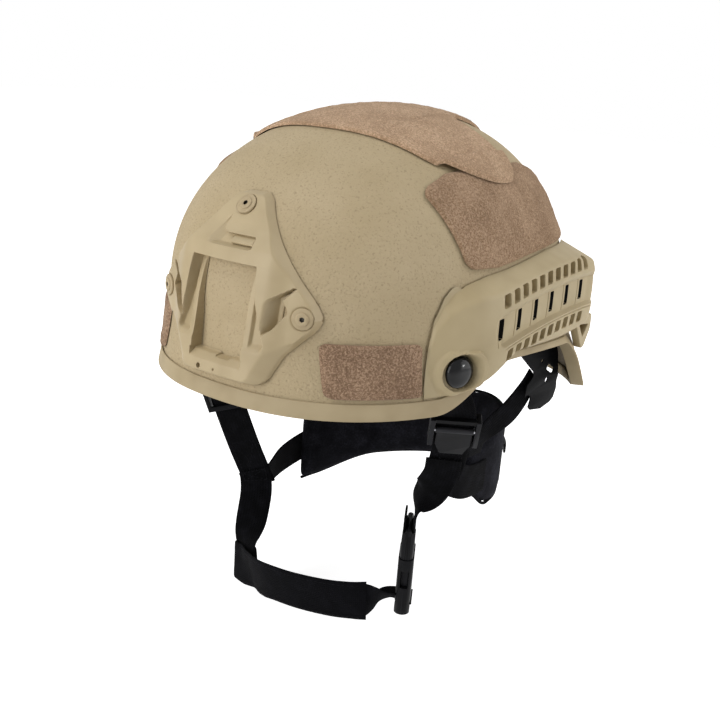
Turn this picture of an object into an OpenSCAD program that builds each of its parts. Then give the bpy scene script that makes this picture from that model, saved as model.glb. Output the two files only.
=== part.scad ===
// Combat helmet with side rails, front shroud, liner pads and chin harness, in millimetres.
// Origin: under the crown's top point, level with the front rim. Front is -Y, the wearer's left is +X.

/* [Shell] */
// Width of the shell at its widest level, ear bulge left out
shell_w = 242; // [238:1:248]
// Reach of the shell ahead of the crown's top point
front_reach = 168; // [165:1:171]
// Reach of the shell behind the crown's top point
rear_reach = 108; // [106:1:110]
// Height of the crown above the front rim
crown_h = 171.5; // [168:0.5:175]
// Wall thickness of the shell
shell_wall = 4; // [3.2:0.2:4.4]
// Height of the ear cut above the front rim
ear_rise = 25; // [22:1:26]
// Drop of the nape below the front rim
nape_drop = 12; // [8:1:14]

/* [Fittings] */
// Thickness of the loop patches
patch_t = 2.2; // [1.6:0.2:3]
// Greatest stand-off of the shroud from the shell
shroud_h = 9.2; // [8:0.2:10]
// Diameter of the domed rail bolt heads
bolt_head_d = 20.5; // [17:0.5:22]
// Spacing of the rail's pockets
pocket_pitch = 10; // [9:0.5:10.5]
// Diameter of the shroud washers
washer_d = 13; // [11:0.5:14]

/* [Liner] */
// Thickness of the liner pads at their middle
pad_t = 18; // [12:1:22]
// Radius of the liner's crown pad
crown_pad_r = 60; // [48:1:64]

/* [Harness] */
// Width of the webbing
web_w = 25; // [20:1:26]
// Thickness of the webbing
web_t = 1.6; // [1.2:0.2:2]
// Width of the chin band
chin_w = 32; // [28:1:38]
// Height of the buckle's socket
socket_h = 42; // [36:1:44]
// Thickness of the nape pad at its middle
nape_t = 13; // [9:1:15]
// Diameter of the size dial
dial_d = 34; // [28:1:38]

/* [Hidden] */
$fn = 48;
gap = 0.3;
fit = 0.05;

// Shell form: squareness of the plan and of the side view, level of the widest section
half_w = shell_w / 2;
plan_n = 2.35;
dome_m = 2.15;
wide_z = 54;
rim_flare = 0.035;
ear_swell = 0.13;
flap_flare = 0.06;

// Fixing points on the shell: side bolts, rear screws, shroud screws
bolt_y = -86;
bolt_z = 26;
bolt_turn = -19;
bolt_d = 6;
rear_y = 22;
rear_z = 44;
rear_turn = 1.5;
rear_d = 4;
lobe_x = 51.4;
lobe_z = 58.4;
lobe_turn = 25.5;
top_z0 = 112.5;
screw_d = 4;

// Half width of the shell at the bolts that the harness routes below were drawn for
drawn_half = 110.91;
drawn_wall = 4;

// Strap adjusters: height, middle of each as drawn, and its turns
adjuster_w = web_w + 8;
adjuster_h = 26;
left_adjuster = [100, -56, -24];
left_adjuster_turn = [31, 0, 35];
right_adjuster = [-99, -60, -50];
right_adjuster_turn = [-12.97, 16.22, -148.88];

// Buckle: foot of the socket and turn about the upright
buckle_at = [68, -47, -170];
buckle_turn = -60;
buckle_w = web_w + 7;
buckle_t = 11;
bar_z = 62.5;
bar_r = 2.2;

// Nape pad and size dial: both follow one circle behind the wearer's neck
nape_y = 20;
nape_drawn_r = 90;
nape_lean = 0.2;
nape_left = 32;
nape_right = 2;
dial_z = -88;
cog_r = 5;
cog_n = 8;
cog_pin_r = 0.85;
arm_t = 1.8;
rack_pitch = 2 * PI * cog_r / cog_n;

tan_paint = "#a89676";
loop_tan = "#a3806a";
web_black = "#16161a";
plastic_black = "#222226";

// Smooth step from 0 to 1
function smooth(t) = let (u = max(0, min(1, t))) u * u * (3 - 2 * u);

// Widening of the shell round the ears and behind them
function swell(y, z) = 1 + ear_swell * smooth((y + 40) / 110) * max(0, min(1, (105 - z) / 117))
    + flap_flare * smooth((y - 10) / 50) * smooth((40 - z) / 30);

// Share of the full plan that the shell has at a height
function level(z, off) = z <= wide_z
    ? 1 + rim_flare * pow((wide_z - z) / wide_z, 2)
    : pow(max(0, 1 - pow((z - wide_z) / (crown_h + off - wide_z), dome_m)), 1 / dome_m);
function reach(y) = y < 0 ? front_reach : rear_reach;

// Shell surface grown by off: seen from the side, from the front and from above
function side_x(y, z, off) = (half_w + off) * swell(y, z)
    * pow(max(0, pow(level(z, off), plan_n) - pow(abs(y) / (reach(y) + off), plan_n)), 1 / plan_n);
function front_y(x, z, off) = -(front_reach + off)
    * pow(max(0, pow(level(z, off), plan_n) - pow(abs(x) / (half_w + off), plan_n)), 1 / plan_n);
function top_z(x, y, off) = wide_z + (crown_h + off - wide_z)
    * pow(max(0, 1 - pow(pow(abs(x) / (half_w + off), plan_n)
        + pow(abs(y) / (reach(y) + off), plan_n), dome_m / plan_n)), 1 / dome_m);

// Point of the shell at a plan angle and a share k of the full plan
function plan_at(a, z, k, off) =
    let (y = (reach(sin(a)) + off) * sign(sin(a)) * pow(abs(sin(a)), 2 / plan_n) * k)
    [(half_w + off) * sign(cos(a)) * pow(abs(cos(a)), 2 / plan_n) * k * swell(y, z), y, z];
function wall_at(a, z, off) = plan_at(a, z, level(z, off), off);

// Lower edge of the shell along its length
function rim_z(y) = ear_rise * smooth((y + 97) / 62) - (ear_rise + nape_drop) * smooth((y - 36) / 26);
function trim_h(y) = 9 - 5.5 * smooth((y + 90) / 25) * (1 - smooth((y - 60) / 15));

// Value at v of a line through [position, value] pairs
function along(v, line, i = 0) = i >= len(line) - 2 || v <= line[i + 1][0]
    ? line[i][1] + (line[i + 1][1] - line[i][1]) * (v - line[i][0]) / (line[i + 1][0] - line[i][0])
    : along(v, line, i + 1);
function mix(a, b, t) = a + (b - a) * t;
function steps(n) = [for (i = [0 : n]) i / n];

// Closed solid between two grids of points of the same size, outer one first.
// A middle cell tells which way round the grids run, so that every face looks outwards.
module slab(outer, inner) {
    r = len(outer);
    c = len(outer[0]);
    n = r * c;
    i0 = floor((r - 1) / 2);
    j0 = floor((c - 1) / 2);
    spot = outer[i0][j0];
    facing = cross(outer[i0][j0 + 1] - spot, outer[i0 + 1][j0] - spot) * (spot - inner[i0][j0]);
    points = concat([for (row = outer) each row], [for (row = inner) each row]);
    edge = concat([for (j = [0 : c - 2]) j], [for (i = [0 : r - 2]) i * c + c - 1],
        [for (j = [c - 1 : -1 : 1]) (r - 1) * c + j], [for (i = [r - 1 : -1 : 1]) i * c]);
    cells = [for (i = [0 : r - 2]) for (j = [0 : c - 2]) i * c + j];
    skin = [for (k = cells) each [[k, k + 1, k + c + 1], [k, k + c + 1, k + c]]];
    back = [for (f = skin) [f[2] + n, f[1] + n, f[0] + n]];
    side = [for (i = [0 : len(edge) - 1]) let (a = edge[i], b = edge[(i + 1) % len(edge)])
        each [[b, a, a + n], [b, a + n, b + n]]];
    faces = concat(skin, back, side);
    polyhedron(points, facing < 0 ? faces : [for (f = faces) [f[2], f[1], f[0]]]);
}

// Closed ring swept from equal outlines, one for each step round
module ring(outlines) {
    r = len(outlines);
    c = len(outlines[0]);
    faces = [for (i = [0 : r - 1]) for (j = [0 : c - 1])
        let (a = i * c + j, b = i * c + (j + 1) % c,
            d = (i + 1) % r * c + j, e = (i + 1) % r * c + (j + 1) % c)
        each [[a, b, e], [a, e, d]]];
    polyhedron([for (o = outlines) each o], faces);
}

// Smooth line through a list of points
function spline(p, n) = [for (i = [0 : len(p) - 2]) for (k = [0 : n - (i == len(p) - 2 ? 0 : 1)])
    let (t = k / n, a = p[max(i - 1, 0)], b = p[i], c = p[i + 1], d = p[min(i + 2, len(p) - 1)])
    0.5 * (2 * b + (c - a) * t + (2 * a - 5 * b + 4 * c - d) * t * t
        + (3 * b - a - 3 * c + d) * t * t * t)];
function unit(v) = v / norm(v);

// The harness hangs inside the wall, so its points move outwards as far as the wall does at the bolts
spread = side_x(bolt_y, bolt_z, 0) - drawn_half;
hang = spread + drawn_wall - shell_wall;
function hung(p) = p + [sign(p[0]) * hang * smooth(abs(p[0]) / 60), 0, 0];
function hung_all(route) = [for (p = route) hung(p)];

// Webbing along a route, with the direction across it given at every point of the route
module ribbon(route, across, w, t, n = 4) {
    p = spline(route, n);
    d = spline(across, n);
    last = len(p) - 1;
    frames = [for (i = [0 : last])
        let (run = unit(p[min(i + 1, last)] - p[max(i - 1, 0)]), up = unit(cross(run, d[i])))
        [cross(up, run) * w / 2, up * t / 2]];
    outer = [for (i = [0 : last]) [p[i] - frames[i][0] + frames[i][1], p[i] + frames[i][0] + frames[i][1]]];
    inner = [for (i = [0 : last]) [p[i] - frames[i][0] - frames[i][1], p[i] + frames[i][0] - frames[i][1]]];
    slab(inner, outer);
}

module mirrored() {
    mirror([1, 0, 0])
        children();
}

// Fixing axes: the part's Z points out of the shell
module at_bolt() {
    translate([side_x(bolt_y, bolt_z, 0), bolt_y, bolt_z])
        rotate([0, 90, bolt_turn])
            children();
}

module at_rear() {
    translate([side_x(rear_y, rear_z, 0), rear_y, rear_z])
        rotate([0, 90, rear_turn])
            children();
}

module at_lobe() {
    translate([lobe_x, front_y(lobe_x, lobe_z, 0), lobe_z])
        rotate([90, 0, lobe_turn])
            children();
}

// Upper shroud screw: square to the shell, which leans back above the brow
top_lean = atan(front_y(0, top_z0 + 1, 0) - front_y(0, top_z0, 0));

module at_top() {
    translate([0, front_y(0, top_z0, 0), top_z0])
        rotate([90 - top_lean, 0, 0])
            children();
}

module at_shroud_screws() {
    at_lobe()
        children();
    mirrored()
        at_lobe()
            children();
    at_top()
        children();
}

// Ring of shell outlines for one plan angle, from the rim up to the crown
shell_rise = [for (g = [0 : 9 : 81]) g];
function shell_column(a, off) =
    let (foot = rim_z(plan_at(a, wide_z, 1, 0)[1]), top = crown_h + off - wide_z)
    concat([for (t = [0, 0.25, 0.5, 0.75]) wall_at(a, mix(foot, wide_z, t), off)],
        [for (g = shell_rise)
            plan_at(a, wide_z + top * pow(sin(g), 2 / dome_m), pow(cos(g), 2 / dome_m), off)]);

module shell() {
    n = 64;
    columns = [for (i = [0 : n - 1]) concat(shell_column(i * 360 / n, 0),
        [for (p = [len(shell_rise) + 3 : -1 : 0]) shell_column(i * 360 / n, -shell_wall)[p]])];
    c = len(columns[0]);
    h = c / 2;
    points = concat([for (o = columns) each o], [[0, 0, crown_h], [0, 0, crown_h - shell_wall]]);
    walls = [for (i = [0 : n - 1]) for (j = [0 : c - 1]) if (j != h - 1)
        let (a = i * c + j, b = i * c + (j + 1) % c,
            d = (i + 1) % n * c + j, e = (i + 1) % n * c + (j + 1) % c)
        each [[a, b, e], [a, e, d]]];
    caps = [for (i = [0 : n - 1]) let (k = (i + 1) % n)
        each [[i * c + h - 1, n * c, k * c + h - 1], [k * c + h, n * c + 1, i * c + h]]];
    color(tan_paint)
        difference() {
            polyhedron(points, concat(walls, caps));
            for (side = [0, 1])
                mirror([side, 0, 0]) {
                    at_bolt()
                        cylinder(d = bolt_d + 0.4, h = 30, center = true);
                    at_rear()
                        cylinder(d = rear_d + 0.4, h = 30, center = true);
                }
            at_shroud_screws()
                cylinder(d = screw_d + 0.4, h = 24, center = true);
        }
}

// Edging: an open channel over the rim
module edge_trim() {
    n = 64;
    t = 1;
    outlines = [for (i = [0 : n - 1]) let (a = i * 360 / n, y = plan_at(a, wide_z, 1, 0)[1],
            g = gap * (1.5 + smooth((y - 36) / 10)), foot = rim_z(y),
            top = foot + trim_h(y), lip = foot + trim_h(y) * 0.8)
        [wall_at(a, foot - t - gap, t + g), wall_at(a, top, t + g), wall_at(a, top, g),
            wall_at(a, foot - gap, g), wall_at(a, foot - gap, -shell_wall - g),
            wall_at(a, lip, -shell_wall - g), wall_at(a, lip, -shell_wall - g - t),
            wall_at(a, foot - t - gap, -shell_wall - g - t)]];
    color(tan_paint)
        ring(outlines);
}

// Crown loop patch: front and rear edge at each distance from the middle, lifted over the side patches
crown_half = 98;
function corner(d, r) = d >= r ? 0 : r - sqrt(r * r - (r - d) * (r - d));
function crown_front(x) = -84.5 + 19 * pow(x / 80, 2) + 1.15 * corner(crown_half - x, 34);
function crown_rear(x) = x > 38 ? 2 + 14 * corner(x - 38, 10) / 10 - 0.8 * corner(crown_half - x, 18)
    : 70 - corner(38.5 - x, 12) * 4;
function crown_lift(x) = 3 * gap + (patch_t + gap + 0.3) * smooth((x - 60) / 12);

module crown_patch() {
    half = [14, 28, 34, 37, 38, 38.1, 40, 45, 54, 64, 74, 84, 91, 96, 98];
    xs = concat([for (k = [len(half) - 1 : -1 : 0]) -half[k]], [0], half);
    spots = [for (t = steps(13)) [for (x = xs)
        [x, mix(crown_front(abs(x)), crown_rear(abs(x)) + 0.2, t), crown_lift(abs(x))]]];
    color(loop_tan)
        slab([for (row = spots) [for (p = row) [p[0], p[1], top_z(p[0], p[1], p[2] + patch_t)]]],
            [for (row = spots) [for (p = row) [p[0], p[1], top_z(p[0], p[1], p[2])]]]);
}

// Patch on the side wall over a grid of [y, z] spots
module side_slab(spots, low, high) {
    slab([for (row = spots) [for (p = row) [side_x(p[0], p[1], high), p[0], p[1]]]],
        [for (row = spots) [for (p = row) [side_x(p[0], p[1], low), p[0], p[1]]]]);
}

side_patch_foot = [[-80, 89], [-73, 86], [-51, 85.5], [-15, 90], [18, 93], [60, 95]];
side_patch_top = [[-90, 130], [-65, 139], [-30, 143], [20, 143], [50, 136]];

module left_side_patch() {
    lengthwise = [0, 0.02, 0.06, 0.12, 0.24, 0.38, 0.52, 0.66, 0.8, 0.92, 1];
    upwards = [0, 0.04, 0.12, 0.35, 0.6, 0.85, 1];
    spots = [for (s = lengthwise) [for (t = upwards)
        let (y = mix(mix(-78.5, -88.5, t), mix(58, 48, t), s), nip = 4 * corner(min(s, 1 - s), 0.06) / 0.06)
        [y, mix(along(y, side_patch_foot) + nip, along(y, side_patch_top) - nip, t)]]];
    color(loop_tan)
        side_slab(spots, gap + 0.25, gap + 0.25 + patch_t);
}

module right_side_patch() {
    mirrored()
        left_side_patch();
}

module left_front_patch() {
    spots = [for (s = steps(12)) [for (t = steps(4))
        [mix(-154.5, -109.2, s), mix(11.7, 44, t)]]];
    color(loop_tan)
        side_slab(spots, gap + 0.4, gap + 0.4 + patch_t);
}

module right_front_patch() {
    mirrored()
        left_front_patch();
}

// Rail: upper edge, lower edge, middle line of the groove, outer face
rail_front = -107.5;
rail_rear = 62;
rail_top = [[-107.5, 19], [-106.3, 34], [-104.5, 50], [-102, 58.5], [-97, 66.5], [-90, 72.2],
    [-80, 76.8], [-62, 80], [-43, 82.3], [-19, 85.5], [9, 88], [62, 89.5]];
rail_face = 138.4;
function rail_foot(y) = rim_z(min(y, 30)) + trim_h(y) + 1.7 + 0.03 * max(0, y + 20);
function groove_z(y) = 63 - 0.00085 * (y - 60) * (y - 60);
function rail_x(y, z) = let (wall = side_x(y, z, 0), face = rail_face + spread - 0.05 * (rail_rear - y)
    - 0.0101 * pow(max(0, -55 - y), 2) - corner(max(0, rail_rear - y), 13) * 0.75
    - 0.012 * smooth((y - 20) / 30) * pow(max(0, z - groove_z(y) - 6), 2)
    - 0.003 * pow(z - groove_z(y) + 2, 2))
    wall + min(face - wall, 3 + 0.7 * (y - rail_front),
        3 + mix(1.3, 3, smooth((y + 60) / 90)) * (along(y, rail_top) - z),
        4 + 3 * (rail_rear - y), 7 + 1.5 * (z - rail_foot(y)));

module rail_body() {
    ys = [-107.5, -106.3, -104.5, -102, -97, -90, -80, -68, -55, -42, -28, -14, 0, 14, 28, 42, 52, 58,
        60.5, 62];
    spots = [for (y = ys) [for (t = [0, 0.04, 0.12, 0.24, 0.4, 0.55, 0.7, 0.82, 0.9, 0.96, 1])
        [y, mix(rail_foot(y), along(y, rail_top), t)]]];
    slab([for (row = spots) [for (p = row) [rail_x(p[0], p[1]), p[0], p[1]]]],
        [for (row = spots) [for (p = row)
            [side_x(p[0], p[1], gap + 0.6 * smooth((p[0] - 15) / 15)), p[0], p[1]]]]);
}

// Band of the rail between two heights off the groove's middle, from one depth to another
module rail_band(y0, y1, low, high, depth0, depth1, n = 10) {
    spots = [for (s = steps(n)) [for (t = steps(2)) let (y = mix(y0, y1, s))
        [y, groove_z(y) + mix(low, high, t)]]];
    slab([for (row = spots) [for (p = row) [rail_x(p[0], p[1]) + depth1, p[0], p[1]]]],
        [for (row = spots) [for (p = row) [rail_x(p[0], p[1]) + depth0, p[0], p[1]]]]);
}

groove_depth = 3.2;
loop_x = 129;
pocket_y = -61;
slot_y = -62;

module left_rail() {
    color(tan_paint)
        difference() {
            union() {
                rail_body();
                translate([loop_x + spread, 0, 0])
                    rotate([90, 0, 90])
                        linear_extrude(6)
                            polygon([[36, 40], [63, 42], [63.5, 31], [56, 19], [52, 17.5]]);
            }
            translate([loop_x + spread - 4, 0, 0])
                rotate([90, 0, 90])
                    linear_extrude(20)
                        polygon([[43.5, 36.5], [59, 34.5], [51.5, 26.5]]);
            rail_band(-68, 66, -11.5, 11.5, -groove_depth, 6);
            rail_hollow();
            for (i = [0 : 10])
                rail_notch(pocket_y + i * pocket_pitch, 18.2, 6, 8, 3);
            for (i = [0 : 9])
                rail_notch(pocket_y + 8 + i * pocket_pitch, -18.6, 6, 7.4, 3);
            for (i = [0 : 5])
                rail_notch(slot_y + i * 2 * pocket_pitch, 0, 4, 13, 9);
            at_bolt() {
                cylinder(d = bolt_d + 0.4, h = 60, center = true);
                translate([0, 0, 5.2])
                    cylinder(d = bolt_head_d + 3.5, h = 20);
            }
            at_rear()
                translate([0, 0, -5])
                    cylinder(d = rear_d + 2 * fit, h = 5 + rear_grip + 0.6);
        }
}

module rail_hollow() {
    spots = [for (s = steps(9)) [for (t = steps(3)) let (y = mix(-65, 54, s))
        [y, groove_z(y) + mix(-11, 14, t)]]];
    slab([for (row = spots) [for (p = row) [max(rail_x(p[0], p[1]) - groove_depth - 2.6,
            side_x(p[0], p[1], 0.5)), p[0], p[1]]]],
        [for (row = spots) [for (p = row) [side_x(p[0], p[1], -1), p[0], p[1]]]]);
}

// Box cut square into the rail's face
module rail_notch(y, dz, w, h, depth) {
    z = groove_z(y) + dz;
    translate([rail_x(y, z) + 5 - depth / 2, y, z])
        cube([depth + 10, w, h], center = true);
}

module right_rail() {
    mirrored()
        left_rail();
}

// Domed bolt: shank through rail, shell and strap end, nut inside
bolt_seat = 5.3;
bolt_tail = 15;
nut_seat = -8.9;

module rail_front_bolts() {
    color(plastic_black)
        for (side = [0, 1])
            mirror([side, 0, 0])
                at_bolt() {
                    rotate_extrude()
                        polygon([[0, bolt_seat], [bolt_head_d / 2, bolt_seat],
                            [bolt_head_d / 2, bolt_seat + 1.6],
                            [bolt_head_d * 0.46, bolt_seat + 3], [bolt_head_d * 0.38, bolt_seat + 4.2],
                            [bolt_head_d * 0.26, bolt_seat + 5.2], [bolt_head_d * 0.13, bolt_seat + 5.8],
                            [0, bolt_seat + 6]]);
                    translate([0, 0, -bolt_tail])
                        cylinder(d = bolt_d, h = bolt_tail + bolt_seat + 1);
                }
}

module rail_front_nuts() {
    color("#3a3a3e")
        for (side = [0, 1])
            mirror([side, 0, 0])
                at_bolt()
                    translate([0, 0, nut_seat - 4.6])
                        difference() {
                            union() {
                                cylinder(d = 11, h = 3.4);
                                translate([0, 0, 3.4])
                                    cylinder(d = 13, h = 1.2);
                            }
                            translate([0, 0, -1])
                                cylinder(d = bolt_d + 2 * fit, h = 8);
                        }
}

// Rear screws: head inside over the hanger plate, thread in the rail
rear_grip = 7;
plate_t = 1.8;
plate_gap = 1.9;

module rail_rear_screws() {
    seat = -shell_wall - plate_gap - plate_t - 0.5;
    color("#3a3a3e")
        for (side = [0, 1])
            mirror([side, 0, 0])
                at_rear() {
                    translate([0, 0, seat])
                        cylinder(d = rear_d, h = rear_grip - seat);
                    translate([0, 0, seat - 2.4])
                        difference() {
                            cylinder(d = 9, h = 2.4);
                            translate([0, 0, -1])
                                cylinder(d = 3, h = 2.2, $fn = 6);
                        }
                }
}

// Shroud: half width and stand-off at each height
shroud_half = [[13.5, 25], [15, 31.5], [18, 34.8], [22.5, 36.8], [33.7, 42.6], [44.4, 52.6], [51, 59.2],
    [58, 62], [67, 57.8], [74.6, 51.2], [82.5, 44.2], [90.3, 37.2], [98, 30.4], [110.3, 20.2],
    [116, 15.8], [120.5, 12.2], [123, 6.5]];
shroud_top = 123;
shroud_slope = 3.2;
function shroud_off(x, z) = 6.3 + (shroud_h - 6.3) * smooth((50 - abs(x)) / 12) * smooth((104 - z) / 10);

module shroud_body() {
    zs = [13.5, 15, 18, 22.5, 28, 33.7, 39, 44.4, 51, 58, 64, 70, 76, 82.5, 90.3, 98, 104, 108, 112, 116,
        120.5, shroud_top];
    insets = [0, 1.4, 3.4, 7];
    spots = [for (z = zs) let (w = along(z, shroud_half))
        [for (u = concat([for (d = insets) [d * min(1, w / 16) - w, d]],
            [for (k = [-0.75 : 0.25 : 0.75]) [k * (w - 7 * min(1, w / 16)), 9]],
            [for (k = [3 : -1 : 0]) [w - insets[k] * min(1, w / 16), insets[k]]]))
        [u[0], z, min(shroud_off(u[0], z), 1.2 + shroud_slope * u[1], 2.5 + 3 * (z - 13.5),
            2.5 + shroud_slope * (shroud_top - z))]]];
    slab([for (row = spots) [for (p = row) [p[0], front_y(p[0], p[1], p[2]), p[1]]]],
        [for (row = spots) [for (p = row) [p[0], front_y(p[0], p[1], 2 * gap), p[1]]]]);
}

// Window of the shroud: the opening stands between two bars, which sink away under the face upwards
window_half = 20;
bar_w = 5;
bar_foot = 37;
bar_head = 84.5;
bar_sunk = 4.4;
step_edge = [[bar_foot, 27], [46, 30], [65, 28.6], [bar_head, 25.4]];

module shroud_step() {
    out = window_half + bar_w;
    rows = [for (z = [bar_foot, 42, 46, 55, 65, 75, bar_head])
        let (e = along(z, step_edge), low = mix(shroud_h, bar_sunk, (z - bar_foot) / (bar_head - bar_foot)))
        [for (x = [-e, -out, -12, 0, 12, out, e]) [x, z, abs(x) > out ? shroud_h : low]]];
    slab([for (row = rows) [for (p = row) [p[0], front_y(p[0], p[1], shroud_h + 4), p[1]]]],
        [for (row = rows) [for (p = row) [p[0], front_y(p[0], p[1], p[2]), p[1]]]]);
}

// Straight cut through the shroud along Y over an outline of [x, z]
module shroud_cut(outline, from_y = -200, deep = 90) {
    translate([0, from_y + deep, 0])
        rotate([90, 0, 0])
            linear_extrude(deep)
                polygon(outline);
}

module shroud() {
    color(tan_paint)
        difference() {
            shroud_body();
            shroud_step();
            shroud_cut([[-window_half, bar_head], [window_half, bar_head], [window_half, 27], [10, 27],
                [9.5, 25.6], [-1, 25.6], [-1.5, 27], [-window_half, 27]]);
            for (side = [0, 1])
                mirror([side, 0, 0]) {
                    shroud_cut([[31, 46], [31.5, 65], [34, 67.5], [46, 73], [41.5, 66.5], [46, 61.5],
                        [38, 49]], -200, 200 + front_y(40, 58, 4));
                    shroud_cut([[36, 51], [36, 64], [41.5, 66], [44.5, 61.5], [39.5, 52.5]]);
                }
            shroud_cut([[-15, 94.2], [-4.5, 112.5], [-6, 103], [-1, 98.8], [17, 98.8], [17, 94.2]],
                -200, 200 + front_y(0, 98, 3.6));
            translate([-11.5, 0, 18.6])
                rotate([90, 0, 0])
                    cylinder(d = 3, h = 220);
            at_shroud_screws() {
                cylinder(d = screw_d + 0.4, h = 40, center = true);
                translate([0, 0, 5])
                    cylinder(d = washer_d + 1, h = 12);
            }
        }
}

module shroud_washers() {
    color(tan_paint)
        at_shroud_screws()
            translate([0, 0, 5.05])
                difference() {
                    cylinder(d = washer_d, h = 1.6);
                    translate([0, 0, -1])
                        cylinder(d = screw_d + 0.3, h = 4);
                }
}

module shroud_screws() {
    color(tan_paint)
        at_shroud_screws()
            difference() {
                union() {
                    translate([0, 0, -shell_wall - 4.6])
                        cylinder(d = screw_d, h = shell_wall + 11.6);
                    translate([0, 0, 6.7])
                        cylinder(d1 = 8.6, d2 = 7.4, h = 1.6);
                }
                translate([0, 0, 6.9])
                    cylinder(d = 3.4, h = 3, $fn = 6);
            }
}

module shroud_nuts() {
    color("#3a3a3e")
        at_shroud_screws()
            translate([0, 0, -shell_wall - 4.1])
                difference() {
                    union() {
                        cylinder(d = 8, h = 2.8);
                        translate([0, 0, 2])
                            cylinder(d = 12, h = 0.9);
                    }
                    translate([0, 0, -1])
                        cylinder(d = screw_d + 2 * fit, h = 6);
                }
}

// Liner pads: crowned towards the head, drawn in along the edges
function crowning(s, t) = 0.45
    + 0.55 * pow((1 - pow(abs(2 * s - 1), 3)) * (1 - pow(abs(2 * t - 1), 3)), 0.7);

module wall_pad(a0, a1, z0, z1, cols = 8, rows = 5) {
    skin = -shell_wall - 3 * gap;
    color(web_black)
        slab([for (s = steps(cols)) [for (t = steps(rows)) wall_at(mix(a0, a1, s), mix(z0, z1, t), skin)]],
            [for (s = steps(cols)) [for (t = steps(rows))
                wall_at(mix(a0, a1, s), mix(z0, z1, t), skin - pad_t * crowning(s, t))]]);
}

module crown_pad() {
    n = 10;
    skin = -shell_wall - 3 * gap;
    spots = [for (s = steps(n)) [for (t = steps(n)) let (u = 2 * s - 1, v = 2 * t - 1)
        [crown_pad_r * v * sqrt(1 - u * u / 2), crown_pad_r * u * sqrt(1 - v * v / 2) - 6,
            pad_t * crowning(s, t)]]];
    color(web_black)
        slab([for (row = spots) [for (p = row) [p[0], p[1], top_z(p[0], p[1], skin)]]],
            [for (row = spots) [for (p = row) [p[0], p[1], top_z(p[0], p[1], skin - p[2])]]]);
}

module front_pad() {
    turn = acos(cos(73.5) * pow(121 / half_w, plan_n / 2));
    wall_pad(turn - 180, -turn, 34, 98);
}

module rear_pad() {
    wall_pad(62, 118, 8, 84);
}

module left_front_pad() {
    wall_pad(-55, -12, 52, 112);
}

module right_front_pad() {
    mirrored()
        left_front_pad();
}

module left_rear_pad() {
    wall_pad(3, 50, 56, 112);
}

module right_rear_pad() {
    mirrored()
        left_rear_pad();
}

// Perforated hanger plate: drawn in its own plane, which hangs from the rear screw and leans inwards
plate_lean = 5;

module left_hanger_plate() {
    color(plastic_black)
        at_rear()
            translate([0, 0, -shell_wall - plate_gap - plate_t])
                rotate([0, plate_lean, 0])
                    linear_extrude(plate_t)
                        rotate(90)
                            difference() {
                                union() {
                                    polygon([[-7, 0], [-24, -18], [-26.5, -25], [2, -43], [3, -46.5],
                                        [-5, -52], [-4.9, -62], [-3.5, -60.2], [-0.9, -59.8], [4, -61.5],
                                        [6.4, -64], [5.1, -70.8], [9.7, -74], [29, -78], [45, -76.5],
                                        [50, -74], [52, -66.8], [49.5, -60], [50.5, -56], [40, -36],
                                        [18, -8], [7, 0]]);
                                    circle(r = 7);
                                }
                                circle(d = rear_d + 0.5);
                                translate([13.4, -37])
                                    circle(d = 2.6);
                                translate([28.6, -54.9])
                                    circle(d = 3.8);
                                hull() {
                                    translate([26.8, -44.6])
                                        circle(d = 4.2);
                                    translate([36, -49])
                                        circle(d = 4.2);
                                }
                            }
}

module right_hanger_plate() {
    mirrored()
        left_hanger_plate();
}

// Nape pad: position along the neck, height, lean to the wearer's right as it hangs
nape_r = nape_drawn_r + spread;
arm_r = nape_r + 0.4;
rack_turn = rack_pitch / (arm_r + arm_t / 2) * 180 / PI;
function nape_at(s, z, r) = let (arc = nape_r * PI / 2, a = min(abs(s), arc) / nape_r * 180 / PI,
    x = sign(s) * r * sin(a)) [x, nape_y + r * cos(a) - max(0, abs(s) - arc), z + nape_lean * x];
function nape_top(s) = -56 - 4 * smooth((abs(s) - 40) / 60) - 14 * smooth((abs(s) - 120) / 50);
function nape_foot(s) = -120 - 9 * smooth((abs(s) - 60) / 60) + 20 * smooth((abs(s) - 135) / 35);

module nape_pad() {
    s0 = -(nape_r * PI / 2 + nape_right);
    s1 = nape_r * PI / 2 + nape_left;
    spots = [for (s = steps(24)) [for (t = steps(6)) let (p = mix(s0, s1, s))
        [p, mix(nape_foot(p), nape_top(p), t),
            0.35 + 0.65 * pow((1 - pow(abs(2 * s - 1), 8)) * (1 - pow(abs(2 * t - 1), 4)), 0.6)]]];
    color(web_black)
        slab([for (row = spots) [for (p = row) nape_at(p[0], p[1], nape_r - nape_t * p[2])]],
            [for (row = spots) [for (p = row) nape_at(p[0], p[1], nape_r)]]);
}

// Piece of a ring about the neck's upright axis: angles from straight back, towards the left
module neck_arc(r0, r1, z0, z1, a0, a1) {
    turns = [for (k = [0 : 4]) mix(a0, a1, k / 4)];
    translate([0, nape_y, z0])
        linear_extrude(z1 - z0)
            intersection() {
                difference() {
                    circle(r = r1, $fn = 180);
                    circle(r = r0, $fn = 180);
                }
                polygon(concat([[0, 0]], [for (a = turns) 1.5 * r1 * [sin(a), cos(a)]]));
            }
}

// Band arm: a strip with a row of rack teeth that the pinion drives
rack_root = cog_r + cog_pin_r + 0.3;
arm_top = 14;

module band_arm() {
    difference() {
        neck_arc(arm_r, arm_r + arm_t, cog_r - 0.7, arm_top, -14, 62);
        for (i = [-5 : 5])
            translate([0, nape_y, 0])
                rotate([0, 0, -i * rack_turn])
                    translate([0, arm_r + arm_t / 2, 0])
                        rotate([90, 0, 0])
                            linear_extrude(6, center = true)
                                polygon([[-1.55, 3.6], [1.55, 3.6], [0.72, rack_root], [-0.72, rack_root]]);
        neck_arc(arm_r - 1, arm_r + arm_t + 1, 0, rack_root + 0.4, 14, 70);
    }
}

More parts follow.
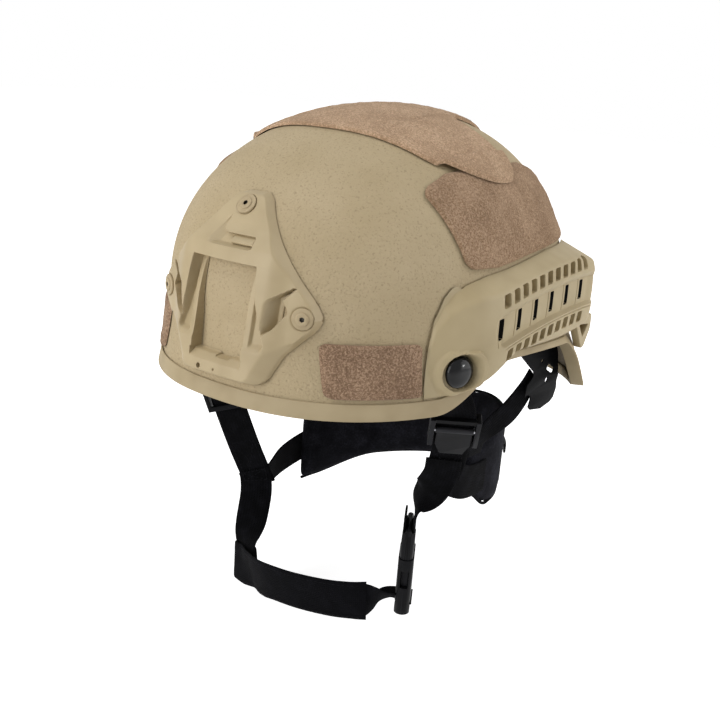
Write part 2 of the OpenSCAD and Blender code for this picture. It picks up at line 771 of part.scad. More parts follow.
module left_band_arm() {
    color(plastic_black)
        translate([0, 0, dial_z])
            band_arm();
}

module right_band_arm() {
    color(plastic_black)
        translate([0, 0, dial_z])
            rotate([0, 180, 0])
                band_arm();
}

// Housing: both arms slide through it, the pinion sits in its middle
housing_r = arm_r + arm_t + 6;
housing_half = 20;

module dial_housing() {
    lane0 = cog_r - 0.7 - 0.25;
    color(plastic_black)
        translate([0, 0, dial_z])
            difference() {
                neck_arc(arm_r - 0.2, housing_r, -18, 18, -housing_half, housing_half);
                for (flip = [0, 180])
                    rotate([0, flip, 0])
                        neck_arc(arm_r - 1, arm_r + arm_t + 0.2, lane0, arm_top + 0.25,
                            -housing_half - 2, housing_half + 2);
                translate([0, nape_y + arm_r - 1, 0])
                    rotate([-90, 0, 0]) {
                        cylinder(r = cog_r + cog_pin_r + 0.5, h = arm_t + 1.6);
                        cylinder(d = 5 + 2 * fit, h = 30);
                    }
            }
}

module at_dial() {
    translate([0, nape_y, dial_z])
        rotate([-90, 0, 0])
            children();
}

module dial_knob() {
    color(plastic_black)
        at_dial()
            translate([0, 0, housing_r + 0.4])
                difference() {
                    union() {
                        cylinder(d = dial_d - 4, h = 9);
                        cylinder(d = dial_d, h = 2);
                        for (i = [0 : 11])
                            rotate(i * 30)
                                translate([dial_d / 2 - 2.4, 0, 0])
                                    cylinder(d = 4.4, h = 8, $fn = 24);
                    }
                    translate([0, 0, 5])
                        cylinder(d = dial_d - 12, h = 6);
                    translate([0, 0, -1])
                        cylinder(d = 5 + 2 * fit, h = 20);
                }
}

module dial_pinion() {
    color("#55555a")
        at_dial() {
            difference() {
                translate([0, 0, arm_r + 0.1])
                    cylinder(d = 5, h = housing_r - arm_r + 4.4);
                translate([0, 0, housing_r - 2])
                    cylinder(d = 2.2, h = 12);
            }
            translate([0, 0, arm_r + 0.1])
                linear_extrude(arm_t)
                    for (i = [0 : cog_n - 1])
                        rotate(i * 360 / cog_n + 90) {
                            translate([cog_r, 0])
                                circle(r = cog_pin_r, $fn = 24);
                            translate([1.5, -0.55])
                                square([cog_r - 1.5, 1.1]);
                        }
        }
}

module dial_screw() {
    color("#3a3a3e")
        at_dial()
            difference() {
                union() {
                    translate([0, 0, housing_r - 1])
                        cylinder(d = 2.2 - 2 * fit, h = 7);
                    translate([0, 0, housing_r + 5.5])
                        cylinder(d = 7, h = 1.8);
                }
                translate([0, 0, housing_r + 6.3])
                    cylinder(d = 2.6, h = 2, $fn = 6);
            }
}

// Straps. Across lists hold the direction across the webbing at each point of the route.
narrow_web_w = web_w * 0.8;
chin_t = 2.4;
tab_z = 6;
wall_across = [0.33, 0.94, 0];
view_across = [0.819, 0.574, 0];

module left_front_strap() {
    color(web_black)
        difference() {
            ribbon(hung_all([[101.5, -90.7, 40], [103.7, -85.3, 26], [105.4, -77, 8], [104.14, -61.91, -12],
                    [100, -56, -24], [95.86, -50.09, -36], [91, -44.5, -52], [87, -43, -66]]),
                [wall_across, wall_across, [0.3, 0.95, 0], view_across, view_across, view_across,
                    view_across, view_across], web_w, web_t);
            at_bolt()
                cylinder(d = bolt_d + 0.6, h = 60, center = true);
        }
}

module right_front_strap() {
    color(web_black)
        difference() {
            ribbon(hung_all([[-101.5, -90.7, 40], [-103.7, -85.3, 26], [-105.2, -78, 6], [-103.6, -71, -14],
                    [-100.64, -64.66, -36.9], [-99, -60, -50], [-97.36, -55.34, -63.1], [-91.5, -43, -98],
                    [-85, -30, -131]]),
                [[-0.33, 0.94, 0], [-0.33, 0.94, 0], [-0.2, 0.98, 0], [0.5, 0.87, 0], view_across,
                    view_across, view_across, view_across, view_across], web_w, web_t);
            mirrored()
                at_bolt()
                    cylinder(d = bolt_d + 0.6, h = 60, center = true);
        }
}

// Point and direction in the buckle's own axes: across, outwards, up
function buckle_dir(v) = [v[0] * cos(buckle_turn) - v[1] * sin(buckle_turn),
    v[0] * sin(buckle_turn) + v[1] * cos(buckle_turn), v[2]];
function buckle_pt(v) = hung(buckle_at) + buckle_dir(v);

module left_lower_strap() {
    loop_r = bar_r + 0.35 + web_t / 2;
    across = buckle_dir([1, 0, 0]);
    color(web_black)
        ribbon(concat(hung_all([[90.5, -48, -51], [88.5, -46.8, -62], [82, -46.5, -76]]),
                [for (q = [[loop_r + 1, 20], [loop_r, 8], [loop_r, 0], [loop_r * 0.7, -loop_r * 0.7],
                    [0, -loop_r], [-loop_r * 0.7, -loop_r * 0.7], [-loop_r, 0], [-loop_r, 9]])
                    buckle_pt([0, q[0], bar_z + q[1]])]),
            [view_across, view_across, [0.97, 0.2, 0], [0.8, -0.6, 0], across, across, across, across,
                across, across, across], web_w - 0.5, web_t, 3);
}

module left_rear_strap() {
    color(web_black)
        ribbon(hung_all([[84, -41.2, -65], [87.3, -32.5, -70], [90.6, -18, -77], [91.2, -2, -80],
                [91.2, 12, -80]]),
            [[0.4, 0.4, 0.82], [0.2, 0.35, 0.92], [0, 0.15, 1], [0, 0, 1], [0, 0, 1]], web_w, web_t);
}

module right_rear_strap() {
    color(web_black)
        ribbon(hung_all([[-86.6, -26.8, -130], [-88, -16, -127], [-90, 0, -121], [-91.2, 18, -118],
                [-91.2, 34, -116]]),
            [[0.25, 0.15, 0.95], [0.15, 0.15, 0.95], [0.05, 0.1, 1], [0, 0, 1], [0, 0, 1]], web_w, web_t);
}

module left_plate_strap() {
    color(web_black)
        ribbon(hung_all([[110, 33, -4], [109.2, 25.5, -13], [104.8, 13, -27.5], [98.5, 0, -38],
                [92.6, -7, -49], [91.2, -8, -59]]),
            [[0, 0.8, -0.6], [0.1, 0.8, -0.6], [0.25, 0.8, -0.5], [0.25, 0.9, -0.4], [0.1, 1, -0.1],
                [0, 1, 0]], narrow_web_w, web_t);
}

module right_plate_strap() {
    color(web_black)
        ribbon(hung_all([[-110.4, 33, -4], [-109.6, 25.5, -13], [-105.6, 22, -30], [-99.5, 23, -52],
                [-93, 26, -72], [-91.2, 28, -88]]),
            [[0, 0.8, -0.6], [0, 0.85, -0.5], [0, 1, 0], [0, 1, 0.1], [0, 1, 0.1], [0, 1, 0]],
            narrow_web_w, web_t);
}

module right_down_strap() {
    color(web_black)
        ribbon(hung_all([[-86.2, -37.4, -117.5], [-84.7, -36.3, -124], [-82, -38.5, -136],
                [-77.3, -47.5, -151.5], [-73, -56.5, -163.5], [-71.3, -59.3, -170.5], [-71, -59.5, -187]]),
            [view_across, view_across, view_across, [0.88, 0.45, 0], [0.93, -0.1, 0], [0.93, -0.36, 0],
                [0.93, -0.36, 0]], web_w, web_t);
}

// Chin band: wraps the end of the down strap on the right, then crosses the chin to the buckle. Its fold
// stands as far out as half the webbing's width
drawn_web = 25;
function fold(p) = p + [-0.93, 0.36, 0] * (web_w - drawn_web) / 2;

module chin_band() {
    color(web_black) {
        ribbon(hung_all([[-58, -61.9, -183], [-70, -57, -186], fold([-81.2, -52.7, -187.5]),
                fold([-84.8, -54.3, -187.7]), fold([-83.2, -57.7, -187.5]), [-72, -62, -186],
                [-58, -68.4, -182.5],
                [-44, -77, -179], [-27, -84, -174], [0, -87, -169.5], [27, -84, -166],
                [44, -77.5, -164.3], [53, -71.5, -163.6]]),
            [for (k = [0 : 12]) k < 6 ? [0, 0, 1] : k < 12 ? [-0.08, -0.2, 1] : [0, -0.1, 1]],
            chin_w, chin_t, 3);
        ribbon(concat(hung_all([[46, -76, -164.2], [53, -68.5, -163.6], [55.5, -61, -163.8]]),
                [for (v = [-11.5, -7.5, 0, 6.5]) buckle_pt([0, v, tab_z])]),
            [[0, 0, 1], [0.15, -0.25, 0.95], [0.4, -0.65, 0.65], for (k = [0 : 3]) buckle_dir([1, 0, 0])],
            web_w - 4, web_t, 3);
    }
}

// Strap adjuster in its own axes: X across the webbing, -Y towards the viewer, Z up along the webbing
cheek_w = 3.2;
cheek_d = 9;
pin_z = 2;
pin_y = -3.2;
pin_d = 2.4;

module adjuster_frame() {
    inner = web_w + 1.4;
    color(plastic_black)
        difference() {
            union() {
                for (side = [-1, 1])
                    translate([side * (inner + cheek_w) / 2, -0.6, 0])
                        cube([cheek_w, cheek_d, adjuster_h], center = true);
                for (z = [-adjuster_h / 2 + 2, adjuster_h / 2 - 2])
                    translate([0, 2.7, z])
                        cube([inner + 1, 2.4, 4], center = true);
                translate([0, -3.1, adjuster_h / 2 - 1.6])
                    cube([inner + 1, 2.4, 3.2], center = true);
            }
            translate([0, pin_y, pin_z])
                rotate([0, 90, 0])
                    cylinder(d = pin_d + 2 * fit, h = 60, center = true);
        }
}

module adjuster_lever() {
    color("#4a4b50")
        difference() {
            union() {
                translate([0, pin_y, pin_z])
                    rotate([0, 90, 0])
                        cylinder(d = 4, h = web_w - 0.2, center = true);
                translate([-(web_w - 2) / 2, pin_y - 1.9, pin_z - 13])
                    cube([web_w - 2, 1.8, 13]);
                translate([0, pin_y - 0.1, pin_z - 12.9])
                    rotate([90, 0, 0])
                        linear_extrude(1.8)
                            polygon([[-11.5, 0.2], [11.5, 0.2], [7.5, -9.5], [-7.5, -9.5]]);
            }
            translate([0, pin_y, pin_z])
                rotate([0, 90, 0])
                    cylinder(d = pin_d + 2 * fit, h = 60, center = true);
        }
}

module adjuster_pin() {
    color("#8a8a8e")
        translate([0, pin_y, pin_z])
            rotate([0, 90, 0])
                cylinder(d = pin_d, h = adjuster_w - 0.4, center = true);
}

module at_left_adjuster() {
    translate(hung(left_adjuster))
        rotate(left_adjuster_turn)
            children();
}

module at_right_adjuster() {
    translate(hung(right_adjuster))
        rotate(right_adjuster_turn)
            children();
}

module left_adjuster_frame() {
    at_left_adjuster()
        adjuster_frame();
}

module left_adjuster_lever() {
    at_left_adjuster()
        adjuster_lever();
}

module left_adjuster_pin() {
    at_left_adjuster()
        adjuster_pin();
}

module right_adjuster_frame() {
    at_right_adjuster()
        adjuster_frame();
}

module right_adjuster_lever() {
    at_right_adjuster()
        adjuster_lever();
}

module right_adjuster_pin() {
    at_right_adjuster()
        adjuster_pin();
}

// Bar with round ends, drawn across X
module rounded_bar(w, t) {
    square([w - t, t], center = true);
    for (side = [-1, 1])
        translate([side * (w - t) / 2, 0])
            circle(d = t);
}

module at_buckle() {
    translate(hung(buckle_at))
        rotate([0, 0, buckle_turn])
            children();
}

module buckle_socket() {
    color(plastic_black)
        at_buckle()
            difference() {
                linear_extrude(socket_h)
                    rounded_bar(buckle_w, buckle_t);
                translate([0, 0, 11])
                    linear_extrude(socket_h)
                        rounded_bar(buckle_w - 5, 6.4);
                for (side = [-1, 1])
                    translate([side * buckle_w / 2, 0, 27])
                        cube([8, 5.6, 13], center = true);
                translate([-(web_w + 0.6) / 2, -10, tab_z - 2.4])
                    cube([web_w + 0.6, 20, 4.8]);
            }
}

module buckle_tongue() {
    arm_w = 4;
    color(plastic_black)
        at_buckle() {
            difference() {
                translate([0, 0, socket_h + 0.5])
                    linear_extrude(bar_z - socket_h - 0.5)
                        rounded_bar(buckle_w - 1, 9.4);
                translate([-(web_w + 0.8) / 2, -10, bar_z - 9])
                    cube([web_w + 0.8, 20, 12]);
            }
            translate([0, 0, bar_z])
                rotate([0, 90, 0])
                    cylinder(r = bar_r, h = buckle_w - 1, center = true);
            for (side = [-1, 1]) {
                translate([side * 10 - arm_w / 2, -2.3, 18])
                    cube([arm_w, 4.6, socket_h - 17]);
                translate([side * 10.7 - 1.7, -2.3, 21])
                    cube([3.4, 4.6, 11]);
            }
            translate([-2, -2.3, 14])
                cube([4, 4.6, socket_h - 13]);
        }
}

shell();
edge_trim();
crown_patch();
left_side_patch();
right_side_patch();
left_front_patch();
right_front_patch();
left_rail();
right_rail();
rail_front_bolts();
rail_front_nuts();
rail_rear_screws();
shroud();
shroud_washers();
shroud_screws();
shroud_nuts();
crown_pad();
front_pad();
rear_pad();
left_front_pad();
right_front_pad();
left_rear_pad();
right_rear_pad();
left_hanger_plate();
right_hanger_plate();
left_plate_strap();
right_plate_strap();
nape_pad();
dial_housing();
dial_knob();
dial_pinion();
dial_screw();
left_band_arm();
right_band_arm();
left_front_strap();
right_front_strap();
left_lower_strap();
right_down_strap();
left_rear_strap();
right_rear_strap();
left_adjuster_frame();
right_adjuster_frame();
left_adjuster_lever();
right_adjuster_lever();
left_adjuster_pin();
right_adjuster_pin();
chin_band();
buckle_tongue();
buckle_socket();
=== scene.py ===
import math

import bmesh
import bpy
import numpy as np
from mathutils import Matrix, Vector


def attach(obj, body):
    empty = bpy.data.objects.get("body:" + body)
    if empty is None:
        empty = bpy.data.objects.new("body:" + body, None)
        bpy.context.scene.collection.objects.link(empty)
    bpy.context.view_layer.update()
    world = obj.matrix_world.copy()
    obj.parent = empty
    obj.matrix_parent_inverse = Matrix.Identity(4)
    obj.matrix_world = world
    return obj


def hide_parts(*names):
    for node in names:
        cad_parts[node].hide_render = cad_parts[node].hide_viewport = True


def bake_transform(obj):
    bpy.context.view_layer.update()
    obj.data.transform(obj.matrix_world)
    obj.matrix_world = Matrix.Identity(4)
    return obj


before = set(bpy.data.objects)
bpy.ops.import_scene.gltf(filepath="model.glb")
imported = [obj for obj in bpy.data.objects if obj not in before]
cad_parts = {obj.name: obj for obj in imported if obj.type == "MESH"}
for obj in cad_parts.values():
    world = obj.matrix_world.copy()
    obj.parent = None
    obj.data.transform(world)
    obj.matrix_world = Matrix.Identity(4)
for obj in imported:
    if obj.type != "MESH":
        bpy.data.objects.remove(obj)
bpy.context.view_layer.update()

# All shapes below are worked out in millimetres; makePiece turns them to metres.
# Front is -Y, the wearer's left is +X, and the front rim lies at Z = 0.

shellForm = {
    "halfWidth": 121.0,
    "frontReach": 168.0,
    "rearReach": 108.0,
    "crown": 171.5,
    "wideLevel": 54.0,
    "planPower": 2.35,
    "domePower": 2.15,
    "rimFlare": 0.035,
    "earSwell": 0.13,  # share added to the width behind the ears
    "napeSwell": 0.06,  # share added low at the nape
    "earRise": 25.0,  # the rim climbs by this from the brow to the ears
    "napeDrop": 37.0,  # and falls by this from the ears to the nape
    "wall": 4.0,
    "gap": 0.3,
}
halfWidth, crownTop, wideLevel = shellForm["halfWidth"], shellForm["crown"], shellForm["wideLevel"]
planPower, domePower, wall, gap = (shellForm[k] for k in ("planPower", "domePower", "wall", "gap"))
insideSkin = -wall - 3 * gap  # where the pads lie against the shell
trimForm = {"tall": 9.0, "lowerOverEars": 5.5, "thick": 1.0, "round": 0.5}


def smooth(t):
    # soft step: 3t^2 - 2t^3 between 0 and 1
    u = np.clip(t, 0, 1)
    return u * u * (3 - 2 * u)


def mix(a, b, t):
    return a + (b - a) * t


def swell(y, z):
    # share of the full width, which grows round and behind the ears
    ears = shellForm["earSwell"] * smooth((y + 40) / 110) * np.clip((105 - z) / 117, 0, 1)
    return 1 + ears + shellForm["napeSwell"] * smooth((y - 10) / 50) * smooth((40 - z) / 30)


def level(z, off=0.0):
    # share of the full plan at a height: a superellipse above the widest level, a slight flare below it
    z = np.asarray(z, float)
    up = np.clip((z - wideLevel) / (crownTop + off - wideLevel), 0, 1)
    flare = 1 + shellForm["rimFlare"] * ((wideLevel - z) / wideLevel) ** 2
    return np.where(z <= wideLevel, flare, (1 - up**domePower) ** (1 / domePower))


def reachAt(y):
    return np.where(np.asarray(y) < 0, shellForm["frontReach"], shellForm["rearReach"])


def sideX(y, z, off=0.0):
    # half width of the shell, grown by off: the plan superellipse |x|^p + |y|^p = level^p, solved for x
    rest = level(z, off) ** planPower - (np.abs(y) / (reachAt(y) + off)) ** planPower
    return (halfWidth + off) * swell(y, z) * np.maximum(0, rest) ** (1 / planPower)


def frontY(x, z, off=0.0):
    # the same superellipse solved for y at the front
    rest = level(z, off) ** planPower - (np.abs(x) / (halfWidth + off)) ** planPower
    return -(shellForm["frontReach"] + off) * np.maximum(0, rest) ** (1 / planPower)


def topZ(x, y, off=0.0):
    # and for z over the dome
    plan = (np.abs(x) / (halfWidth + off)) ** planPower + (np.abs(y) / (reachAt(y) + off)) ** planPower
    rise = np.maximum(0, 1 - plan ** (domePower / planPower)) ** (1 / domePower)
    return wideLevel + (crownTop + off - wideLevel) * rise


def planAt(angle, z, share, off=0.0):
    # point of the shell at a plan angle in degrees and a share of the full plan
    s, c = np.sin(np.radians(angle)), np.cos(np.radians(angle))
    y = (reachAt(s) + off) * np.sign(s) * np.abs(s) ** (2 / planPower) * share
    x = (halfWidth + off) * np.sign(c) * np.abs(c) ** (2 / planPower) * share * swell(y, z)
    return np.stack(np.broadcast_arrays(x, y, z), -1)


def wallAt(angle, z, off=0.0):
    return planAt(angle, z, level(z, off), off)


def rimZ(y):
    return shellForm["earRise"] * smooth((y + 97) / 62) - shellForm["napeDrop"] * smooth((y - 36) / 26)


def trimHeight(y):
    overEars = smooth((y + 90) / 25) * (1 - smooth((y - 60) / 15))
    return trimForm["tall"] - trimForm["lowerOverEars"] * overEars


def unit(v):
    return v / np.maximum(np.linalg.norm(v, axis=-1, keepdims=True), 1e-9)


def turned(points, origin=(0, 0, 0), turn=(0, 0, 0), mirrored=False):
    # turns about X, then Y, then Z, in degrees, then moves; mirrored changes the sides
    a, b, c = np.radians(turn)
    rx = np.array([[1, 0, 0], [0, math.cos(a), -math.sin(a)], [0, math.sin(a), math.cos(a)]])
    ry = np.array([[math.cos(b), 0, math.sin(b)], [0, 1, 0], [-math.sin(b), 0, math.cos(b)]])
    rz = np.array([[math.cos(c), -math.sin(c), 0], [math.sin(c), math.cos(c), 0], [0, 0, 1]])
    moved = np.asarray(points, float) @ (rz @ ry @ rx).T + np.array(origin, float)
    return moved * [-1, 1, 1] if mirrored else moved


def wobble(points, size, seed, waves=9):
    # smooth noise, mostly from -1 to 1: a sum of sine waves of about that size in random directions
    rng = np.random.default_rng(seed)
    ways = unit(rng.normal(size=(waves, 3))) * (2 * np.pi / size) * rng.uniform(0.7, 1.4, (waves, 1))
    return np.sin(points @ ways.T + rng.uniform(0, 2 * np.pi, waves)).sum(-1) / waves**0.5 / 1.5


def along(v, line):
    # height of a bent line at v
    line = np.asarray(line, float)
    return np.interp(v, line[:, 0], line[:, 1])


def corner(d, r):
    # how far an edge rounded by r falls back at a distance d from its end
    d = np.clip(d, 0, r)
    return r - np.sqrt(r * r - (r - d) ** 2)


def slabFaces(top, bottom, keep=None, wrap=False):
    # solid between two grids of points; keep picks the cells, and every open border gets a wall
    rows, cols = top.shape[:2]
    n = rows * cols
    index = np.arange(n).reshape(rows, cols)
    right = np.roll(index, -1, 1) if wrap else index[:, 1:]
    left = index if wrap else index[:, :-1]
    cells = np.stack([left[:-1], right[:-1], right[1:], left[1:]], -1)
    cells = cells.reshape(-1, 4) if keep is None else cells[keep]
    edges = np.concatenate([cells[:, [k, (k + 1) % 4]] for k in range(4)])
    border = edges[~np.isin(edges[:, 0] * n + edges[:, 1], edges[:, 1] * n + edges[:, 0])]
    walls = np.stack([border[:, 1], border[:, 0], border[:, 0] + n, border[:, 1] + n], -1)
    points = np.concatenate([top.reshape(-1, 3), bottom.reshape(-1, 3)])
    return points, [cells, cells[:, ::-1] + n, walls]


def tubeFaces(rings, loop=False):
    # surface through closed rings of equal length, capped at both ends or joined into a loop
    count, size = rings.shape[:2]
    index = np.arange(count * size).reshape(count, size)
    after = np.roll(index, -1, 0)[: count if loop else count - 1]
    here = index[: len(after)]
    quads = np.stack([here, np.roll(here, -1, 1), np.roll(after, -1, 1), after], -1).reshape(-1, 4)
    groups = [quads] if loop else [quads, index[:1, ::-1], index[-1:]]
    return rings.reshape(-1, 3), groups


def joined(parts):
    # several (points, groups) as one
    points, groups, start = [], [], 0
    for p, gs in parts:
        points.append(p)
        groups += [g + start for g in gs]
        start += len(p)
    return np.concatenate(points), groups


def placed(shape, origin, turn, mirrored=False):
    # a shape turned and moved to its place; a mirrored one has its faces reversed, so they still point outwards
    points, groups = shape
    return turned(points, origin, turn, mirrored), [g[:, ::-1] for g in groups] if mirrored else groups


def makePiece(name, shape, material, body="helmet", replaced=(), sharp=38, uv=None, merge=True):
    # one object from a shape in millimetres, with its materials, body and the CAD nodes it replaces
    points, groups = shape
    mesh = bpy.data.meshes.new(name)
    corners = np.concatenate([g.ravel() for g in groups])
    sizes = np.concatenate([np.full(len(g), g.shape[1]) for g in groups])
    mesh.vertices.add(len(points))
    mesh.vertices.foreach_set("co", (points * 0.001).astype(np.float32).ravel())
    mesh.loops.add(len(corners))
    mesh.loops.foreach_set("vertex_index", corners.astype(np.int32))
    mesh.polygons.add(len(sizes))
    mesh.polygons.foreach_set("loop_start", (np.cumsum(sizes) - sizes).astype(np.int32))
    mesh.update(calc_edges=True)
    if uv is not None:
        layer = mesh.uv_layers.new(name="cloth")
        layer.data.foreach_set("uv", (uv * 0.001)[corners].astype(np.float32).ravel())
    work = bmesh.new()
    work.from_mesh(mesh)
    if merge:
        bmesh.ops.remove_doubles(work, verts=work.verts, dist=2e-6)
    if work.calc_volume(signed=True) < 0:
        bmesh.ops.reverse_faces(work, faces=work.faces)
    work.to_mesh(mesh)
    work.free()
    mesh.shade_smooth()
    mesh.set_sharp_from_angle(angle=math.radians(sharp))
    piece = bpy.data.objects.new(name, mesh)
    bpy.context.scene.collection.objects.link(piece)
    for m in material if isinstance(material, list) else [material]:
        mesh.materials.append(m)
    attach(piece, body)
    if replaced:
        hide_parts(*([replaced] if isinstance(replaced, str) else replaced))
    return piece


def paintFaces(piece, second):
    # faces marked true take the piece's second material
    marks = np.zeros(len(piece.data.polygons), np.int32)
    marks[: len(second)] = second
    piece.data.polygons.foreach_set("material_index", marks)


# Colours and nodes


def toLinear(hexColour):
    # sRGB hex to linear RGBA
    c = np.array([int(hexColour[k : k + 2], 16) for k in (1, 3, 5)]) / 255
    c = np.where(c <= 0.04045, c / 12.92, ((c + 0.055) / 1.055) ** 2.4)
    return (*c.tolist(), 1.0)


def addNode(tree, kind, inputs=None, **settings):
    # one node; an input given as (node, output) is linked, anything else is set
    node = tree.nodes.new("ShaderNode" + kind)
    for key, value in settings.items():
        setattr(node, key, value)
    for key, value in (inputs or {}).items():
        if isinstance(value, tuple) and len(value) == 2 and isinstance(value[0], bpy.types.Node):
            tree.links.new(value[0].outputs[value[1]], node.inputs[key])
        else:
            node.inputs[key].default_value = value
    return node


def perMm(size):
    # texture scale at which one feature of a pattern is about this many millimetres
    return 1000.0 / size


def startMaterial(name, shader):
    # a new material with its shader's fixed values; returns it, its tree, shader and texture coordinates
    material = bpy.data.materials.new(name)
    material.use_nodes = True
    tree = material.node_tree
    tree.nodes.clear()
    surface = addNode(tree, "BsdfPrincipled", shader)
    addNode(tree, "OutputMaterial", {"Surface": (surface, 0)})
    return material, tree, surface, addNode(tree, "TexCoord")


def wire(tree, surface, links):
    # links each (node, output) to the shader's input of that name
    for key, (node, output) in links.items():
        tree.links.new(node.outputs[output], surface.inputs[key])


def ramp(tree, source, stops):
    # hex colours at places along a source value
    node = addNode(tree, "ValToRGB", {0: source})
    band = node.color_ramp
    while len(band.elements) < len(stops):
        band.elements.new(0.5)
    for element, (place, colour) in zip(band.elements, stops):
        element.position = place
        element.color = toLinear(colour)
    return node


mixedColour = 2  # number of a Mix node's colour output; 6 and 7 are its two colour inputs


def gritPaint(name, values):
    # matt grit paint on a pressed aramid shell: rounded crumbs and small dimples, very little gloss
    values = {"cloudMm": 38, "gritMm": 1.4, "dimpleMm": 2.6, "speckMm": 1.3, "deep": 0.00042, **values}
    material, tree, surface, coords = startMaterial(name, {"Roughness": 0.72, "Specular IOR Level": 0.32})
    place = (coords, "Object")
    cloud = addNode(tree, "TexNoise", {"Vector": place, "Scale": perMm(values["cloudMm"]), "Detail": 3.0})
    grit = addNode(tree, "TexNoise", {"Vector": place, "Scale": perMm(values["gritMm"]), "Detail": 3.0,
                                      "Roughness": 0.6})
    dimple = addNode(tree, "TexVoronoi", {"Vector": place, "Scale": perMm(values["dimpleMm"]), "Smoothness": 0.6},
                     feature="SMOOTH_F1")
    pit = addNode(tree, "MapRange", {"Value": (dimple, "Distance"), "From Min": 0.12, "From Max": 0.5},
                  interpolation_type="SMOOTHSTEP")
    colour = ramp(tree, (cloud, 0), [(0.35, values["base"]), (0.7, values["light"])])
    speck = addNode(tree, "TexNoise", {"Vector": place, "Scale": perMm(values["speckMm"]), "Detail": 1.0})
    spots = addNode(tree, "MapRange", {"Value": (speck, 0), "From Min": 0.56, "From Max": 0.76, "To Max": 0.7},
                    interpolation_type="SMOOTHSTEP")
    final = addNode(tree, "Mix", {"Factor": (spots, 0), 6: (colour, 0), 7: toLinear(values["speck"])},
                    data_type="RGBA")
    height = addNode(tree, "Math", {0: (pit, 0), 1: 0.55, 2: (grit, 0)}, operation="MULTIPLY_ADD")
    bump = addNode(tree, "Bump", {"Height": (height, 0), "Strength": 0.85, "Distance": values["deep"]})
    wire(tree, surface, {"Base Color": (final, mixedColour), "Normal": (bump, 0)})
    return material


def mouldedPlastic(name, values):
    # injection-moulded nylon: a fine even texture from the tool, faint flow clouds, lighter rubbed edges
    values = {"gloss": 0.4, "cloudMm": 25, "wear": 0.3, **values}
    rough = values["rough"]
    material, tree, surface, coords = startMaterial(name, {"Specular IOR Level": values["gloss"], "IOR": 1.5})
    place = (coords, "Object")
    cloud = addNode(tree, "TexNoise", {"Vector": place, "Scale": perMm(values["cloudMm"]), "Detail": 2.0})
    grain = addNode(tree, "TexNoise", {"Vector": place, "Scale": perMm(values["grainMm"]), "Detail": 2.0})
    colour = ramp(tree, (cloud, 0), [(0.3, values["dark"]), (0.5, values["base"]), (0.75, values["light"])])
    ridge = addNode(tree, "NewGeometry")
    worn = addNode(tree, "MapRange", {"Value": (ridge, "Pointiness"), "From Min": 0.52, "From Max": 0.6})
    rubbed = addNode(tree, "Math", {0: (worn, 0), 1: values["wear"]}, operation="MULTIPLY")
    final = addNode(tree, "Mix", {"Factor": (rubbed, 0), 6: (colour, 0), 7: toLinear(values["worn"])},
                    data_type="RGBA")
    patchy = addNode(tree, "MapRange", {"Value": (grain, 0), "To Min": rough - 0.08, "To Max": rough + 0.1})
    bump = addNode(tree, "Bump", {"Height": (grain, 0), "Strength": values["bump"], "Distance": 0.0001})
    wire(tree, surface, {"Base Color": (final, mixedColour), "Roughness": (patchy, 0), "Normal": (bump, 0)})
    return material


def loopPile(name, values):
    # brushed nylon loop fabric: a felt of fine curled loops, lighter tips over a darker ground
    values = {"bendMm": 4.0, "tuftMm": 1.25, "fibreMm": 0.55, "wornMm": 22, "sheenTint": "#d9c6b2", **values}
    material, tree, surface, coords = startMaterial(name, {
        "Roughness": 0.95, "Specular IOR Level": 0.15, "Sheen Weight": values["sheen"], "Sheen Roughness": 0.6,
        "Sheen Tint": toLinear(values["sheenTint"])})
    place = (coords, "Object")
    bend = addNode(tree, "TexNoise", {"Vector": place, "Scale": perMm(values["bendMm"]), "Detail": 2.0})
    bent = addNode(tree, "VectorMath", {0: (bend, 1), 1: (0.003, 0.003, 0.003), 2: place},
                   operation="MULTIPLY_ADD")
    tuft = addNode(tree, "TexNoise", {"Vector": (bent, 0), "Scale": perMm(values["tuftMm"]), "Detail": 4.0,
                                      "Roughness": 0.7})
    fibre = addNode(tree, "TexNoise", {"Vector": (bent, 0), "Scale": perMm(values["fibreMm"]), "Detail": 2.0,
                                       "Distortion": 1.2})
    worn = addNode(tree, "TexNoise", {"Vector": place, "Scale": perMm(values["wornMm"]), "Detail": 2.0})
    pile = addNode(tree, "Math", {0: (fibre, 0), 1: 0.45, 2: (tuft, 0)}, operation="MULTIPLY_ADD")
    tone = addNode(tree, "Math", {0: (worn, 0), 1: 0.3, 2: (pile, 0)}, operation="MULTIPLY_ADD")
    colour = ramp(tree, (tone, 0), [(0.62, values["ground"]), (0.86, values["middle"]), (1.0, values["tips"])])
    bump = addNode(tree, "Bump", {"Height": (pile, 0), "Strength": 0.9, "Distance": 0.0009})
    wire(tree, surface, {"Base Color": (colour, 0), "Normal": (bump, 0)})
    return material


